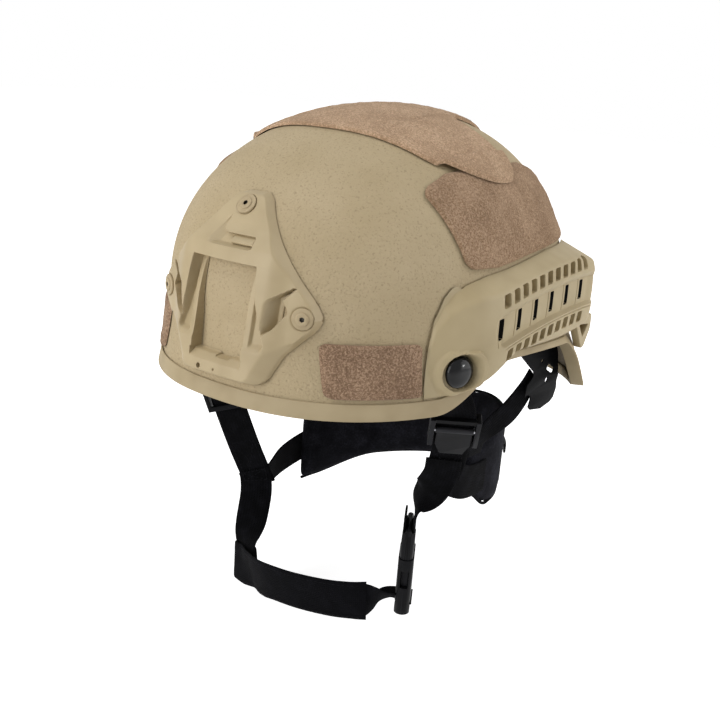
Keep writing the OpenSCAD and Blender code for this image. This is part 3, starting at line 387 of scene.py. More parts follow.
def webbing(name, values):
    # woven nylon webbing: lengthwise ribs crossed by fine picks, from the piece's own map in metres
    values = {"lintMm": 9, **values}
    material, tree, surface, coords = startMaterial(name, {"Roughness": 0.8, "Specular IOR Level": 0.03,
                                                           "Sheen Weight": 0.01})
    spot = addNode(tree, "SeparateXYZ", {0: (coords, "UV")})
    ribs, picks = (addNode(tree, "Math", {0: (spot, k), 1: 2 * math.pi * perMm(values[size])}, operation="MULTIPLY")
                   for k, size in ((0, "ribMm"), (1, "pickMm")))
    ribWave = addNode(tree, "Math", {0: (ribs, 0)}, operation="SINE")
    shifted = addNode(tree, "Math", {0: (ribWave, 0), 1: 1.5, 2: (picks, 0)}, operation="MULTIPLY_ADD")
    pickWave = addNode(tree, "Math", {0: (shifted, 0)}, operation="SINE")
    woven = addNode(tree, "Math", {0: (ribWave, 0), 1: 0.5, 2: (pickWave, 0)}, operation="MULTIPLY_ADD")
    lint = addNode(tree, "TexNoise", {"Vector": (coords, "Object"), "Scale": perMm(values["lintMm"]), "Detail": 4.0})
    tone = addNode(tree, "Math", {0: (woven, 0), 1: 0.1, 2: (lint, 0)}, operation="MULTIPLY_ADD")
    colour = ramp(tree, (tone, 0), [(0.3, values["dark"]), (0.55, values["base"]), (0.8, values["light"])])
    bump = addNode(tree, "Bump", {"Height": (woven, 0), "Strength": 0.55, "Distance": 0.00022})
    wire(tree, surface, {"Base Color": (colour, 0), "Normal": (bump, 0)})
    return material


def padKnit(name, values):
    # brushed polyester knit over foam: soft black, small stitches and a dusty sheen
    material, tree, surface, coords = startMaterial(name, {
        "Roughness": 0.92, "Specular IOR Level": 0.05, "Sheen Weight": 0.1, "Sheen Roughness": 0.5,
        "Sheen Tint": toLinear(values["sheenTint"])})
    place = (coords, "Object")
    loops = addNode(tree, "TexVoronoi", {"Vector": place, "Scale": perMm(values["loopMm"])}, feature="F1")
    nap = addNode(tree, "TexNoise", {"Vector": place, "Scale": perMm(values["napMm"]), "Detail": 5.0})
    tone = addNode(tree, "Math", {0: (loops, 0), 1: 0.35, 2: (nap, 0)}, operation="MULTIPLY_ADD")
    colour = ramp(tree, (tone, 0), [(0.45, values["dark"]), (0.7, values["base"]), (0.95, values["light"])])
    bump = addNode(tree, "Bump", {"Height": (tone, 0), "Strength": 0.5, "Distance": 0.0005})
    wire(tree, surface, {"Base Color": (colour, 0), "Normal": (bump, 0)})
    return material


def steel(name, values):
    # turned, pressed or coated steel: fine machining scratches, slightly uneven gloss
    values = {"gloss": 0.5, "scratchMm": 0.8, "cloudMm": 6, **values}
    rough = values["rough"]
    material, tree, surface, coords = startMaterial(name, {"Metallic": values["metal"],
                                                           "Specular IOR Level": values["gloss"]})
    place = (coords, "Object")
    scratch = addNode(tree, "TexNoise", {"Vector": place, "Scale": perMm(values["scratchMm"]), "Detail": 3.0,
                                         "Distortion": 0.6})
    cloud = addNode(tree, "TexNoise", {"Vector": place, "Scale": perMm(values["cloudMm"]), "Detail": 2.0})
    colour = ramp(tree, (cloud, 0), [(0.35, values["dark"]), (0.6, values["base"])])
    patchy = addNode(tree, "MapRange", {"Value": (scratch, 0), "To Min": rough - 0.06, "To Max": rough + 0.12})
    bump = addNode(tree, "Bump", {"Height": (scratch, 0), "Strength": 0.15, "Distance": 0.00005})
    wire(tree, surface, {"Base Color": (colour, 0), "Roughness": (patchy, 0), "Normal": (bump, 0)})
    return material


shellPaint = gritPaint("gritPaintOnAramid", {"base": "#a79676", "light": "#ae9d7e", "speck": "#8d7d60"})
# painted shade: the shell's inside takes a darker copy of the grit paint, for the shade that falls inside it
insidePaintedShade = gritPaint("paintedShadeInside", {"base": "#6d6251", "light": "#756a58", "speck": "#574e40"})
railNylon = mouldedPlastic("tanGlassFilledNylon", {
    "base": "#a59573", "dark": "#9e8e6c", "light": "#ac9c7a", "worn": "#b8a581",
    "rough": 0.52, "grainMm": 0.7, "bump": 0.35})
shroudNylon = mouldedPlastic("tanSatinNylon", {
    "base": "#a69574", "dark": "#9f8e6d", "light": "#ad9c7b", "worn": "#bfaa8a",
    "rough": 0.5, "grainMm": 0.7, "bump": 0.25})
edgeRubber = mouldedPlastic("tanEdgeRubber", {
    "base": "#a09071", "dark": "#978768", "light": "#a79778", "worn": "#ae9b78",
    "rough": 0.66, "grainMm": 0.9, "bump": 0.4})
blackAcetal = mouldedPlastic("blackMouldedAcetal", {
    "base": "#09090a", "dark": "#070708", "light": "#0d0d0f", "worn": "#3a3a3e",
    "rough": 0.38, "gloss": 0.06, "grainMm": 0.6, "bump": 0.2})
hangerCoat = mouldedPlastic("blackPowderCoat", {
    "base": "#111112", "dark": "#0d0d0e", "light": "#161618", "worn": "#1c1c1e",
    "rough": 0.62, "gloss": 0.02, "grainMm": 0.6, "bump": 0.3})
leverAcetal = mouldedPlastic("greyMouldedAcetal", {
    "base": "#101012", "dark": "#0c0c0e", "light": "#151518", "worn": "#808086",
    "rough": 0.34, "gloss": 0.09, "grainMm": 0.6, "bump": 0.2})
blackThread = mouldedPlastic("blackPolyesterThread", {
    "base": "#111113", "dark": "#0c0c0e", "light": "#17171a", "worn": "#1e1e22",
    "rough": 0.6, "gloss": 0.05, "grainMm": 0.5, "bump": 0.3})
# painted shade: a near-black colour on the slot faces, for the shade in the hollows behind them
slotPaintedShade = mouldedPlastic("slotShade", {
    "base": "#1f1f1e", "dark": "#191918", "light": "#262625", "worn": "#282827",
    "rough": 0.85, "gloss": 0.1, "grainMm": 0.8, "bump": 0.2})
# one loop fabric in three copies: painted light makes the crown's copy lighter, as if lit from above; painted shade
# makes the side and brow copies darker
crownLoopPaintedLight = loopPile("nylonLoopPaintedLightCrown", {"ground": "#83684f", "middle": "#a98a6c", "tips": "#ceaf91", "sheen": 0.42})
sideLoopPaintedShade = loopPile("nylonLoopPaintedShadeSides", {"ground": "#6e5640", "middle": "#917459", "tips": "#b6997d", "sheen": 0.34})
browLoopPaintedShade = loopPile("nylonLoopPaintedShadeBrow", {"ground": "#604937", "middle": "#866b55", "tips": "#b19479", "sheen": 0.3})
strapWeb = webbing("blackNylonWebbing", {
    "dark": "#060607", "base": "#0a0a0c", "light": "#17171b", "ribMm": 2.1, "pickMm": 1.2})
chinWeb = webbing("charcoalCottonBand", {
    "dark": "#070709", "base": "#0b0b0e", "light": "#131317", "ribMm": 1.6, "pickMm": 1.4})
knit = padKnit("brushedKnitOverFoam", {
    "dark": "#0d0d10", "base": "#17171b", "light": "#24242a", "sheenTint": "#6b6b74", "loopMm": 1.4, "napMm": 12})
paintedSteel = steel("tanPaintedSteel", {
    "base": "#a69576", "dark": "#9d8c6e", "rough": 0.55, "metal": 0.0, "gloss": 0.3})
darkSteel = steel("blackenedSteel", {"base": "#3c3c40", "dark": "#2a2a2d", "rough": 0.36, "metal": 0.9})
brightPin = steel("plainSteelPin", {"base": "#a9a9ae", "dark": "#8c8c92", "rough": 0.25, "metal": 1.0})
# painted shade: a dark shaded tan for the inside of the hex sockets
socketPaintedShade = steel("hexSocketPaintedShade", {"base": "#3b352b", "dark": "#2c271f", "rough": 0.5, "metal": 0.2})
glossEnamel = steel("glossBlackEnamel", {
    "base": "#0a0a0c", "dark": "#070708", "rough": 0.12, "metal": 0.0, "gloss": 0.2})
print("materials ready")

# Shell and its edging

angles = np.arange(0, 360, 1.0)


def shellGrid(off):
    # columns go round the plan, rows climb from the rim to the widest level and on to the crown
    foot = rimZ(planAt(angles, wideLevel, 1.0)[:, 1])
    low = mix(foot[None], wideLevel, np.linspace(0, 1, 25)[:-1, None])
    lower = wallAt(angles[None], low, off)
    climb = np.radians(np.linspace(0, 90, 62))[:, None]
    high = wideLevel + (crownTop + off - wideLevel) * np.sin(climb) ** (2 / domePower)
    upper = planAt(angles[None], high, np.maximum(np.cos(climb), 0) ** (2 / domePower), off)
    return np.concatenate([lower, upper])


def facesInward(piece, middle=(0, 0, 0.03), depth=0.02):
    # true for faces whose outward direction points back at the middle, by at least this depth, in metres
    centres, normals = (np.empty(len(piece.data.polygons) * 3) for _ in range(2))
    piece.data.polygons.foreach_get("center", centres)
    piece.data.polygons.foreach_get("normal", normals)
    return ((centres.reshape(-1, 3) - middle) * normals.reshape(-1, 3)).sum(-1) < -depth


shellPiece = makePiece("shell_skin", slabFaces(shellGrid(0.0), shellGrid(-wall), wrap=True), [shellPaint, insidePaintedShade],
                       replaced="shell", sharp=50)
# faces that turn inwards take the painted-shade copy of the paint
paintFaces(shellPiece, facesInward(shellPiece))


def trimRings():
    # the edging's section at each plan angle: a channel with rounded corners over the rim
    t, r = trimForm["thick"], trimForm["round"]
    y = planAt(angles, wideLevel, 1.0)[:, 1]
    g = gap * (1.5 + smooth((y - 36) / 10))
    foot, top = rimZ(y), rimZ(y) + trimHeight(y)
    lip, low, inn = rimZ(y) + trimHeight(y) * 0.8, rimZ(y) - gap - t, -wall - g - t
    section = [(g + t, low + r), (g + t, mix(low, top, 0.5)), (g + t, top - r), (g + t - 0.3 * r, top - 0.3 * r),
               (g + t - r, top), (g, top - 0.5), (g, foot - gap), (-wall - g, foot - gap), (-wall - g, lip),
               (inn + 0.3, lip), (inn, lip - 0.3), (inn, low + r), (inn + 0.3 * r, low + 0.3 * r),
               (inn + r, low), (g + t - r, low), (g + t - 0.3 * r, low + 0.3 * r)]
    return np.stack([wallAt(angles, z, off + 0 * y) for off, z in section], 1)


makePiece("edge_band", tubeFaces(trimRings(), loop=True), edgeRubber, replaced="edge_trim",
          sharp=60)
print("shell ready")

# Loop patches: their thickness falls off round the border, and the pile stands up unevenly

patchForm = {"thick": 2.2, "roundMm": 1.9, "lump": 0.22, "lumpMm": 9, "fuzz": 0.13, "fuzzCell": 0.7}
sidePatchForm = {
    "foot": [[-80, 89], [-73, 86], [-51, 85.5], [-15, 90], [18, 93], [60, 95]],
    "top": [[-90, 130], [-65, 139], [-30, 143], [20, 143], [50, 136]],
    "front": [-78.5, -88.5],  # Y of the front edge at the foot and at the top
    "rear": [58, 48],
    "nip": 4.0,  # how far the corners are drawn in, over this share of the length
    "nipShare": 0.06,
    "stand": 0.25,
    "seed": 21,
}
browPatchForm = {"front": -154.5, "rear": -109.2, "foot": 11.7, "top": 44, "nip": 3.5, "nipShare": 0.065,
                 "stand": 0.4, "seed": 31}
crownPatchForm = {
    "half": 98.0,
    "front": -84.5,
    "rear": 70.0,  # rear edge of the middle lobe
    "sideRear": 2.0,  # rear edge of the two side lobes
    "lobe": 38.0,  # half width of the middle lobe
    "seed": 11,
}


def borderDistance(flat):
    # distance of every grid point from the grid's own border, in the flat plane
    ring = np.concatenate([flat[0], flat[1:, -1], flat[-1, -2::-1], flat[-2:0:-1, 0]])
    spots = flat.reshape(-1, 2)
    near = np.empty(len(spots))
    chunk = 4000  # keeps the table of distances small
    for k in range(0, len(spots), chunk):
        near[k : k + chunk] = np.sqrt(((spots[k : k + chunk, None] - ring[None]) ** 2).sum(-1)).min(1)
    return near.reshape(flat.shape[:2])


def patchHeight(flat, seed):
    # height of the pile over its base: a quarter-round border, soft lumps and fine fuzz
    inside = np.clip(borderDistance(flat) / patchForm["roundMm"], 0, 1)
    body = patchForm["thick"] * (0.45 + 0.55 * np.sqrt(1 - (1 - inside) ** 2))
    spots = np.concatenate([flat, np.zeros(flat.shape[:2] + (1,))], -1)
    lumps = patchForm["lump"] * (wobble(spots, patchForm["lumpMm"], seed) - 0.6) * inside
    cell = np.minimum(*(np.linalg.norm(np.gradient(flat, axis=k), axis=-1) for k in (0, 1)))
    fuzz = np.random.default_rng(seed).normal(0, patchForm["fuzz"], flat.shape[:2]).clip(-0.25, 0.15)
    return body + lumps + fuzz * np.clip(cell / patchForm["fuzzCell"], 0, 1)


def crownPatch():
    # three lobes over the dome: x runs across, y from the front edge to the rear edge of each x
    form = crownPatchForm
    half, lobe = form["half"], form["lobe"]
    xs = np.concatenate([np.arange(0, 37, 1.0), [37, 37.5, 37.8, 38, 38.1, 38.5, 39, 39.6], np.arange(40.5, 90, 1.0),
                         np.arange(90, 96, 0.6), np.arange(96, 98.01, 0.25)])
    xs = np.concatenate([-xs[:0:-1], xs])
    ax = np.abs(xs)
    front = form["front"] + 19 * (ax / 80) ** 2 + 1.15 * corner(half - ax, 34)
    sideLobe = form["sideRear"] + 14 * corner(ax - lobe, 10) / 10 - 0.8 * corner(half - ax, 18)
    rear = np.where(ax > lobe, sideLobe, form["rear"] - corner(lobe + 0.5 - ax, 12) * 4) + 0.2
    t = np.concatenate([[0, 0.002, 0.005], np.linspace(0.01, 0.99, 130), [0.995, 0.998, 1]])[:, None]
    x, y = np.broadcast_arrays(xs[None], mix(front[None], rear[None], t))
    # it rises over the side patches where it meets them
    onSide = smooth((along(y, sidePatchForm["top"]) + 4 - topZ(x, y)) / 3.5)
    lift = 3 * gap + (patchForm["thick"] + gap + 0.3) * onSide
    high = lift + patchHeight(np.stack([x, y], -1), form["seed"])
    return slabFaces(np.stack([x, y, topZ(x, y, high)], -1), np.stack([x, y, topZ(x, y, lift)], -1))


def nipped(s, form):
    # how far the corners at both ends are drawn in
    return form["nip"] * corner(np.minimum(s, 1 - s), form["nipShare"]) / form["nipShare"]


def wallPatch(y, z, low, seed, side):
    # patch on the side of the shell, over (y, z)
    high = low + patchHeight(np.stack([y, z], -1), seed)
    top, bottom = (np.stack([side * sideX(y, z, off), y, z], -1) for off in (high, low + 0 * y))
    return slabFaces(top, bottom)


def sidePatch(side):
    form = sidePatchForm
    s = np.concatenate([[0, 0.002, 0.005, 0.008], np.linspace(0.012, 0.988, 120), [0.992, 0.995, 0.998, 1]])
    t = np.concatenate([[0, 0.005, 0.012], np.linspace(0.02, 0.98, 46), [0.988, 0.995, 1]])
    s, t = np.meshgrid(s, t, indexing="ij")
    y = mix(mix(*form["front"], t), mix(*form["rear"], t), s)
    nip = nipped(s, form)
    z = mix(along(y, form["foot"]) + nip, along(y, form["top"]) - nip, t)
    return wallPatch(y, z, gap + form["stand"], form["seed"] + side, side)


def browPatch(side):
    form = browPatchForm
    ends = np.array([0, 0.004, 0.01, 0.02, 0.035, 0.05])
    s = np.concatenate([ends, np.linspace(0.065, 0.935, 72), [0.95, 0.965, 0.98, 0.99, 0.996, 1]])
    s, t = np.meshgrid(s, np.linspace(0, 1, 54), indexing="ij")
    nip = nipped(s, form)
    y, z = mix(form["front"], form["rear"], s), mix(form["foot"] + nip, form["top"] - nip, t)
    return wallPatch(y, z, gap + form["stand"], form["seed"] + side, side)


crownCloth = makePiece("crown_loop_cloth", crownPatch(), crownLoopPaintedLight, replaced="crown_patch",
                       sharp=70)
for side, sideName in ((1, "left"), (-1, "right")):
    cloth = makePiece(sideName + "_loop_cloth", sidePatch(side), sideLoopPaintedShade, replaced=sideName + "_side_patch",
                      sharp=70)
    cloth = makePiece(sideName + "_brow_loop_cloth", browPatch(side), browLoopPaintedShade, replaced=sideName + "_front_patch",
                      sharp=70)
print("patches ready")

# Side rails: one height field over the shell, with grid lines laid along every pocket and slot

railForm = {
    "front": -107.3,
    "rear": 62.0,
    "top": [[-107.3, 16], [-106.5, 22], [-104.6, 40], [-102.2, 53.5], [-96, 65.2], [-88, 73], [-79, 77.6], [-62, 81.4],
            [-41, 83.8], [-18, 87], [9, 90.6], [40, 91.6], [62, 91.6]],
    "face": 138.4,
    "frontBow": 0.0101,
    "frontBowFrom": -55,
    "soft": 1.1,
    "grooveZ": 63,
    "grooveBow": 0.00085,
    "pocketDeep": 3.9,
    "pocketHalf": 3,
    "pocketPitch": 10,
    "slotDeep": 7.0,
    "slotHalf": (2, 6.5),
    "slotPitch": 20,
    "slotFirst": -62,
    "slots": 6,
    "panelAhead": 4.8,  # from each slot's middle forwards to a shallow upright line
    "panelRise": 0.6,
    "seam": 0.7,
    "stand": gap + 0.15,
    "boltY": -86.0,
    "boltZ": 26.0,
    "boltTurn": -19.0,
    "recess": 12.0,
    "recessFloor": 5.2,
    "frame": 16.0,  # radius of the frame round the recess, which is cut off level above it
    "frameTop": 13.4,
    "frameRise": 2.2,
}
# pockets above and below the groove: number, Y of the first, height over the groove's middle, half height,
# and the share of the full depth in their middle, its slope per millimetre and its most
pocketRows = [(11, -61, 18.2, 4.0, 0.45, 0.11, 1.15), (10, -53, -18.6, 3.7, 0.5, 0.1, 1.1)]
# depth of the face against the distance from the groove's middle: lower ridges, floor, upper ridge
grooveProfile = [[-16, 0], [-14.6, -0.3], [-14.0, -0.3], [-13.5, 0.2], [-13.1, 0.9], [-12.7, 0.2], [-12.2, -0.35],
                 [-11.6, -0.2], [-10.4, 2.2], [-9.8, 3.1], [-9.2, 3.2], [7.7, 3.2], [8.1, 2.6], [8.4, 2.1], [9.2, 1.6],
                 [11.4, 0.1], [12.2, -0.35], [13.3, -0.3], [14, 0]]
cageForm = {  # the open loop under each rail's rear end, as (Y, Z) outlines
    "outer": [[36, 40], [63, 42], [63.5, 31], [56, 19], [52, 17.5]],
    "inner": [[43.5, 36.5], [59, 34.5], [51.5, 26.5]],
    "thick": 6,
    "bevel": 0.7,
    "inside": 129,
}


def railFoot(y):
    return rimZ(np.minimum(y, 30)) + trimHeight(y) + 1.7 + 0.03 * np.maximum(0, y + 20)


def railTop(y):
    # the rear upper corner is rounded off in side view
    return along(y, railForm["top"]) - 0.9 * corner(railForm["rear"] - y, 11)


def grooveZ(y):
    # the groove's middle bows down towards the front
    return railForm["grooveZ"] - railForm["grooveBow"] * (y - 60) ** 2


def softMin(values, soft):
    # smallest of several fields with its creases rounded over
    stack = np.stack(np.broadcast_arrays(*values))
    low = stack.min(0)
    return low - soft * np.log(np.exp(-(stack - low) / soft).sum(0))


def railX(y, z):
    # the shell plus the rail's stand-off: a nearly flat face, falling away to every edge
    bulk = sideX(y, z)
    behind = np.maximum(0, railForm["rear"] - y)
    bow = railForm["frontBow"] * np.maximum(0, railForm["frontBowFrom"] - y) ** 2
    face = (railForm["face"] - 0.05 * behind - bow - corner(behind, 13) * 0.75
            - 0.012 * smooth((y - 20) / 30) * np.maximum(0, z - grooveZ(y) - 6) ** 2
            - 0.003 * (z - grooveZ(y) + 2) ** 2)
    above = railTop(y) - z
    edges = [1.5 + 0.8 * (y - railForm["front"]), 1.5 + mix(1.7, 2.3, smooth((y + 60) / 90)) * above,
             2.5 + 3 * behind, 4 + 2.2 * (z - railFoot(y))]
    return bulk + softMin([face - bulk] + edges, railForm["soft"])


def boxDistance(y, w, cy, cw, halfY, halfW, r):
    # signed distance from a rounded rectangle, below zero inside
    dy, dw = np.abs(y - cy) - halfY + r, np.abs(w - cw) - halfW + r
    return np.hypot(np.maximum(dy, 0), np.maximum(dw, 0)) + np.minimum(np.maximum(dy, dw), 0) - r


def sunk(distance, deep, soft):
    # depth of a sunk place: full inside, rising to nothing over soft millimetres
    return deep * smooth(0.5 - distance / soft)


def railRows():
    # heights of the grid lines over the groove's middle: at each knot of its profile and beside every pocket's edge
    edges = [-22.3, -14.9, -6.5, 6.5, 14.2, 22.2]
    knots = np.array(grooveProfile)[:, 0]
    lines = np.concatenate([knots] + [np.array([e - 0.25, e + 0.25]) for e in edges])
    fill = np.arange(-23.6, 24.3, 0.8)
    fill = fill[np.abs(fill[:, None] - lines[None]).min(1) > 0.35]
    lines = np.unique(np.concatenate([lines, fill]).round(3))
    return lines[np.insert(np.diff(lines) > 0.15, 0, True)]


def railGrid():
    # rows follow the groove, and even out towards the front where the rail narrows
    whole = np.arange(-106, 62, 1.0)
    ys = np.sort(np.concatenate([[-107.3, -107.1, -106.8, -106.4], whole - 0.25, whole + 0.25, [61.4, 61.7, 62]]))
    lines = railRows()
    y = ys[:, None]
    foot, top, mid = railFoot(y), railTop(y), grooveZ(y)
    edge = np.array([0, 0.008, 0.02, 0.04])
    low = mix(foot, mid + lines[0], np.concatenate([edge, np.linspace(0.08, 1, 13)[:-1]])[None])
    high = mix(mid + lines[-1], top, np.concatenate([np.linspace(0.12, 0.9, 8), 1 - edge[::-1]])[None])
    byLine = np.concatenate([low, mid + lines[None], high], 1)
    share = (byLine[-1] - byLine[-1, 0]) / (byLine[-1, -1] - byLine[-1, 0])
    even = mix(foot, top, share[None])
    return y + 0 * byLine, mix(even, byLine, smooth((y + 94) / 22))


def railDepth(y, z):
    # everything sunk into or raised from the rail's face, and where its slots are painted dark as shade
    w = z - grooveZ(y)
    lengthwise = smooth((y + 71 - 0.04 * (w - 2) ** 2) / 6) * (1 - 0.8 * smooth((y - 46) / 12))
    deep = along(w, grooveProfile) * lengthwise
    inGroove = (w > -9.5) & (w < 7.8)
    slots = np.zeros_like(y)
    for count, first, middle, half, share, slope, most in pocketRows:
        for k in range(count):
            py = first + railForm["pocketPitch"] * k
            tilted = np.clip(share + slope * (y - py + 3) - 0.03 * (w - middle), 0.3, most)
            deep = np.maximum(deep, railForm["pocketDeep"] * tilted
                              * sunk(boxDistance(y, w, py, middle, railForm["pocketHalf"], half, 1.3), 1, 0.6))
    for k in range(railForm["slots"]):
        sy = railForm["slotFirst"] + railForm["slotPitch"] * k
        hole = boxDistance(y, w, sy, 0, *railForm["slotHalf"], 0.5)
        deep = np.maximum(deep, sunk(hole, railForm["slotDeep"], 0.5))
        # cells in and round each slot, which take the painted shade
        slots = np.maximum(slots, (hole < 0.45) * 1.0)
        panel = np.abs(y - sy + railForm["panelAhead"])
        deep = deep + np.where(inGroove, railForm["panelRise"] * smooth(1 - panel / 0.6), 0)
    return deep, slots


def boltRecess(y, z, face):
    # flat floor square to the bolt's axis, and a low D-shaped frame with a flat top round it
    turn = math.radians(railForm["boltTurn"])
    c, s = math.cos(turn), math.sin(turn)
    startX = sideX(railForm["boltY"], railForm["boltZ"])
    dy, dz = y - railForm["boltY"], z - railForm["boltZ"]
    floor = startX + (railForm["recessFloor"] - dy * s) / c
    halfway = (np.minimum(face, floor + 6) + floor) / 2
    reach = (halfway - startX) * c + dy * s
    ay, ax = dy - reach * s, halfway - startX - reach * c
    radius = np.sqrt(ay**2 + ax**2 + dz**2)
    band = np.maximum(radius - railForm["frame"], dz - railForm["frameTop"])
    onFrame = smooth(0.5 - band / 1.1) * smooth((radius - railForm["recess"] + 0.6) / 1.2)
    raised = face + railForm["frameRise"] * onFrame
    inside = smooth(0.5 - (radius - railForm["recess"] + 0.3) / 0.7)
    return mix(raised, np.minimum(raised, floor), inside)


def railShape(side):
    # the back is drawn in along the edges, which leaves a dark seam against the shell
    y, z = railGrid()
    face = railX(y, z)
    deep, slots = railDepth(y, z)
    outer = boltRecess(y, z, face - deep)
    rearClear = 0.6 * smooth((y - 15) / 15)
    outer = np.maximum(outer, sideX(y, z, gap + rearClear) + 1.0)
    middle = (y[0, 0] + y[-1, 0]) / 2
    span = (y[-1, 0] - y[0, 0]) / 2
    yb = y - railForm["seam"] * ((y - middle) / span) ** 15
    tall = 2 * (z - z[:, :1]) / (z[:, -1:] - z[:, :1]) - 1
    zb = z - railForm["seam"] * tall**15
    back = sideX(yb, zb, railForm["stand"] + rearClear)
    points, groups = slabFaces(np.stack([side * outer, y, z], -1), np.stack([side * back, yb, zb], -1))
    return points, groups, slots.ravel()


def roundedOutline(points, radius, steps=5):
    # closed outline with each corner replaced by an arc-like curve of about that radius
    p = np.asarray(points, float)
    before, after = np.roll(p, 1, 0), np.roll(p, -1, 0)
    out = []
    for a, b, c in zip(before, p, after):
        r = min(radius, np.linalg.norm(a - b) / 2.2, np.linalg.norm(c - b) / 2.2)
        start, end = b + unit(a - b) * r, b + unit(c - b) * r
        t = np.linspace(0, 1, steps)[:, None]
        out.append((1 - t) ** 2 * start + 2 * t * (1 - t) * b + t**2 * end)
    return np.concatenate(out)


def flatShape(outlines, thick, bevel, lowZ):
    # plate with holes and rounded edges: flat curves filled, thickened and turned to a mesh
    curve = bpy.data.curves.new("flat", "CURVE")
    curve.dimensions, curve.fill_mode = "2D", "BOTH"
    curve.extrude, curve.bevel_depth, curve.bevel_resolution, curve.offset = thick / 2 - bevel, bevel, 2, -bevel
    for outline in outlines:
        spline = curve.splines.new("POLY")
        spline.points.add(len(outline) - 1)
        spline.points.foreach_set("co", np.c_[outline, np.zeros(len(outline)), np.ones(len(outline))].ravel())
        spline.use_cyclic_u = True
    holder = bpy.data.objects.new("flat", curve)
    mesh = holder.to_mesh()
    points = np.empty(len(mesh.vertices) * 3)
    mesh.vertices.foreach_get("co", points)
    groups = {}
    for face in mesh.polygons:
        groups.setdefault(len(face.vertices), []).append(tuple(face.vertices))
    holder.to_mesh_clear()
    bpy.data.objects.remove(holder)
    bpy.data.curves.remove(curve)
    return points.reshape(-1, 3) + [0, 0, lowZ + thick / 2], [np.array(g) for g in groups.values()]


for side, sideName in ((1, "left"), (-1, "right")):
    points, groups, slots = railShape(side)
    outlines = [roundedOutline(cageForm["outer"], 2.5), roundedOutline(cageForm["inner"], 1.2)]
    flat, flatGroups = flatShape(outlines, cageForm["thick"], cageForm["bevel"], cageForm["inside"])
    flat = flat[:, [2, 0, 1]] * [side, 1, 1]
    piece = makePiece(sideName + "_rail_body", joined([(points, groups), (flat, flatGroups)]), [railNylon, slotPaintedShade],
                      replaced=sideName + "_rail", sharp=34, merge=False)
    # the slot faces take the painted shade
    paintFaces(piece, slots[np.minimum(groups[0], len(slots) - 1)].min(1) > 0)
print("rails ready")

# Bolts at the rails' front ends, and the lathe form that the round parts share


def latheRings(profile, count=64, hexFrom=None, lobes=None):
    # rings round Z through (radius, height) pairs; from hexFrom on they are six-sided, and lobes waves a ring's radius
    profile = np.asarray(profile, float)
    turn = np.linspace(0, 2 * np.pi, count, endpoint=False)
    r = np.repeat(profile[:, :1], count, 1)
    if hexFrom is not None:
        r[hexFrom:] *= math.cos(math.pi / 6) / np.cos((turn + math.pi / 6) % (math.pi / 3) - math.pi / 6)
    if lobes is not None:
        r += lobes(turn)
    return np.stack([r * np.cos(turn), r * np.sin(turn), np.repeat(profile[:, 1:], count, 1)], -1)


boltForm = {"seat": 5.3, "head": 20.5, "shank": 6.0, "tail": 15.0, "brim": 1.5, "dome": 4.5}


def boltShape():
    # pan head: a low dome whose height follows a flattened quarter ellipse, over its shank
    seat, r, shankR, tail = boltForm["seat"], boltForm["head"] / 2, boltForm["shank"] / 2, -boltForm["tail"]
    t = np.linspace(0, 1, 22)
    rise = boltForm["dome"] * np.sin(t * np.pi / 2) ** 1.15
    dome = np.c_[r * np.cos(t * np.pi / 2) ** 0.8, seat + boltForm["brim"] + rise]
    edge = [[r - 0.5, seat], [r - 0.15, seat + 0.15], [r, seat + 0.5]]
    shank = [[0, tail], [shankR - 0.4, tail], [shankR, tail + 0.4], [shankR, seat - 0.01]]
    return tubeFaces(latheRings(np.concatenate([shank, edge, dome]), 72))


boltPlace = (float(sideX(railForm["boltY"], railForm["boltZ"])), railForm["boltY"], railForm["boltZ"])
bolts = [placed(boltShape(), boltPlace, (0, 90, railForm["boltTurn"]), mirrored) for mirrored in (False, True)]
makePiece("rail_bolts", joined(bolts), glossEnamel, replaced="rail_front_bolts", sharp=40)

# Shroud: a height field over the brow, its edges found as distances from outlines

shroudForm = {
    "half": [[13.5, 25], [15, 31.5], [18, 34.8], [22.5, 36.8], [33.7, 42.6], [44.4, 52.6], [51, 59.2], [58, 62],
             [67, 57.8], [74.6, 51.2], [82.5, 44.2], [90.3, 37.2], [98, 30.4], [110.3, 20.2], [116, 15.8],
             [120.5, 12.2], [123, 6.5]],
    "window": [[-20, 84.5], [20, 84.5], [20, 27], [10, 27], [9.5, 25.6], [-1, 25.6], [-1.5, 27], [-20, 27]],
    "step": [[36, 33.5], [40, 34], [51, 30.5], [68, 26.8], [84.5, 25]],
    "pocket": [[30.6, 44.6], [33, 65.2], [36, 67.6], [48.5, 75.6], [41.6, 68], [45.2, 61.4], [37.6, 50.2]],
    "hole": [[38.4, 51.6], [39, 63.5], [41, 66.6], [44.3, 61.3], [39.6, 53.2]],
    "upper": [[-17, 93.2], [-6.5, 109.5], [-8.2, 103.5], [-7.6, 100.8], [-3, 99.2], [17.8, 99.4], [17.8, 93.2]],
    "foot": 13.5,
    "top": 123,
    "stand": 9.2,
    "lobeStand": 5.8,
    "floor": 0.6,
    "barSunk": 1.0,
    "valley": 2.2,
    "grid": 0.5,
    "lanyard": (-11.5, 18.6, 1.5),  # place and radius of the lanyard hole
    "dimple": (1, 18.8),
    "pin": (96.5, 2.6, 3.0),  # height, radius and rise of the pin in the upper recess
    "pinHole": (0.4, 96.6, 1.5),
    "screws": [(51.4, 58.4, 0, 25.5), (-51.4, 58.4, 0, -25.5), (0, 112.5, 36.5, 0)],  # place, lean and turn
    "seatOff": 5,
    "seatRadius": 7,
}
# each screw's foot on the shell, and the turns that lay a piece's Z along its axis
screwPlaces = [((x, float(frontY(x, z)), z), (90 - lean, 0, turn)) for x, z, lean, turn in shroudForm["screws"]]


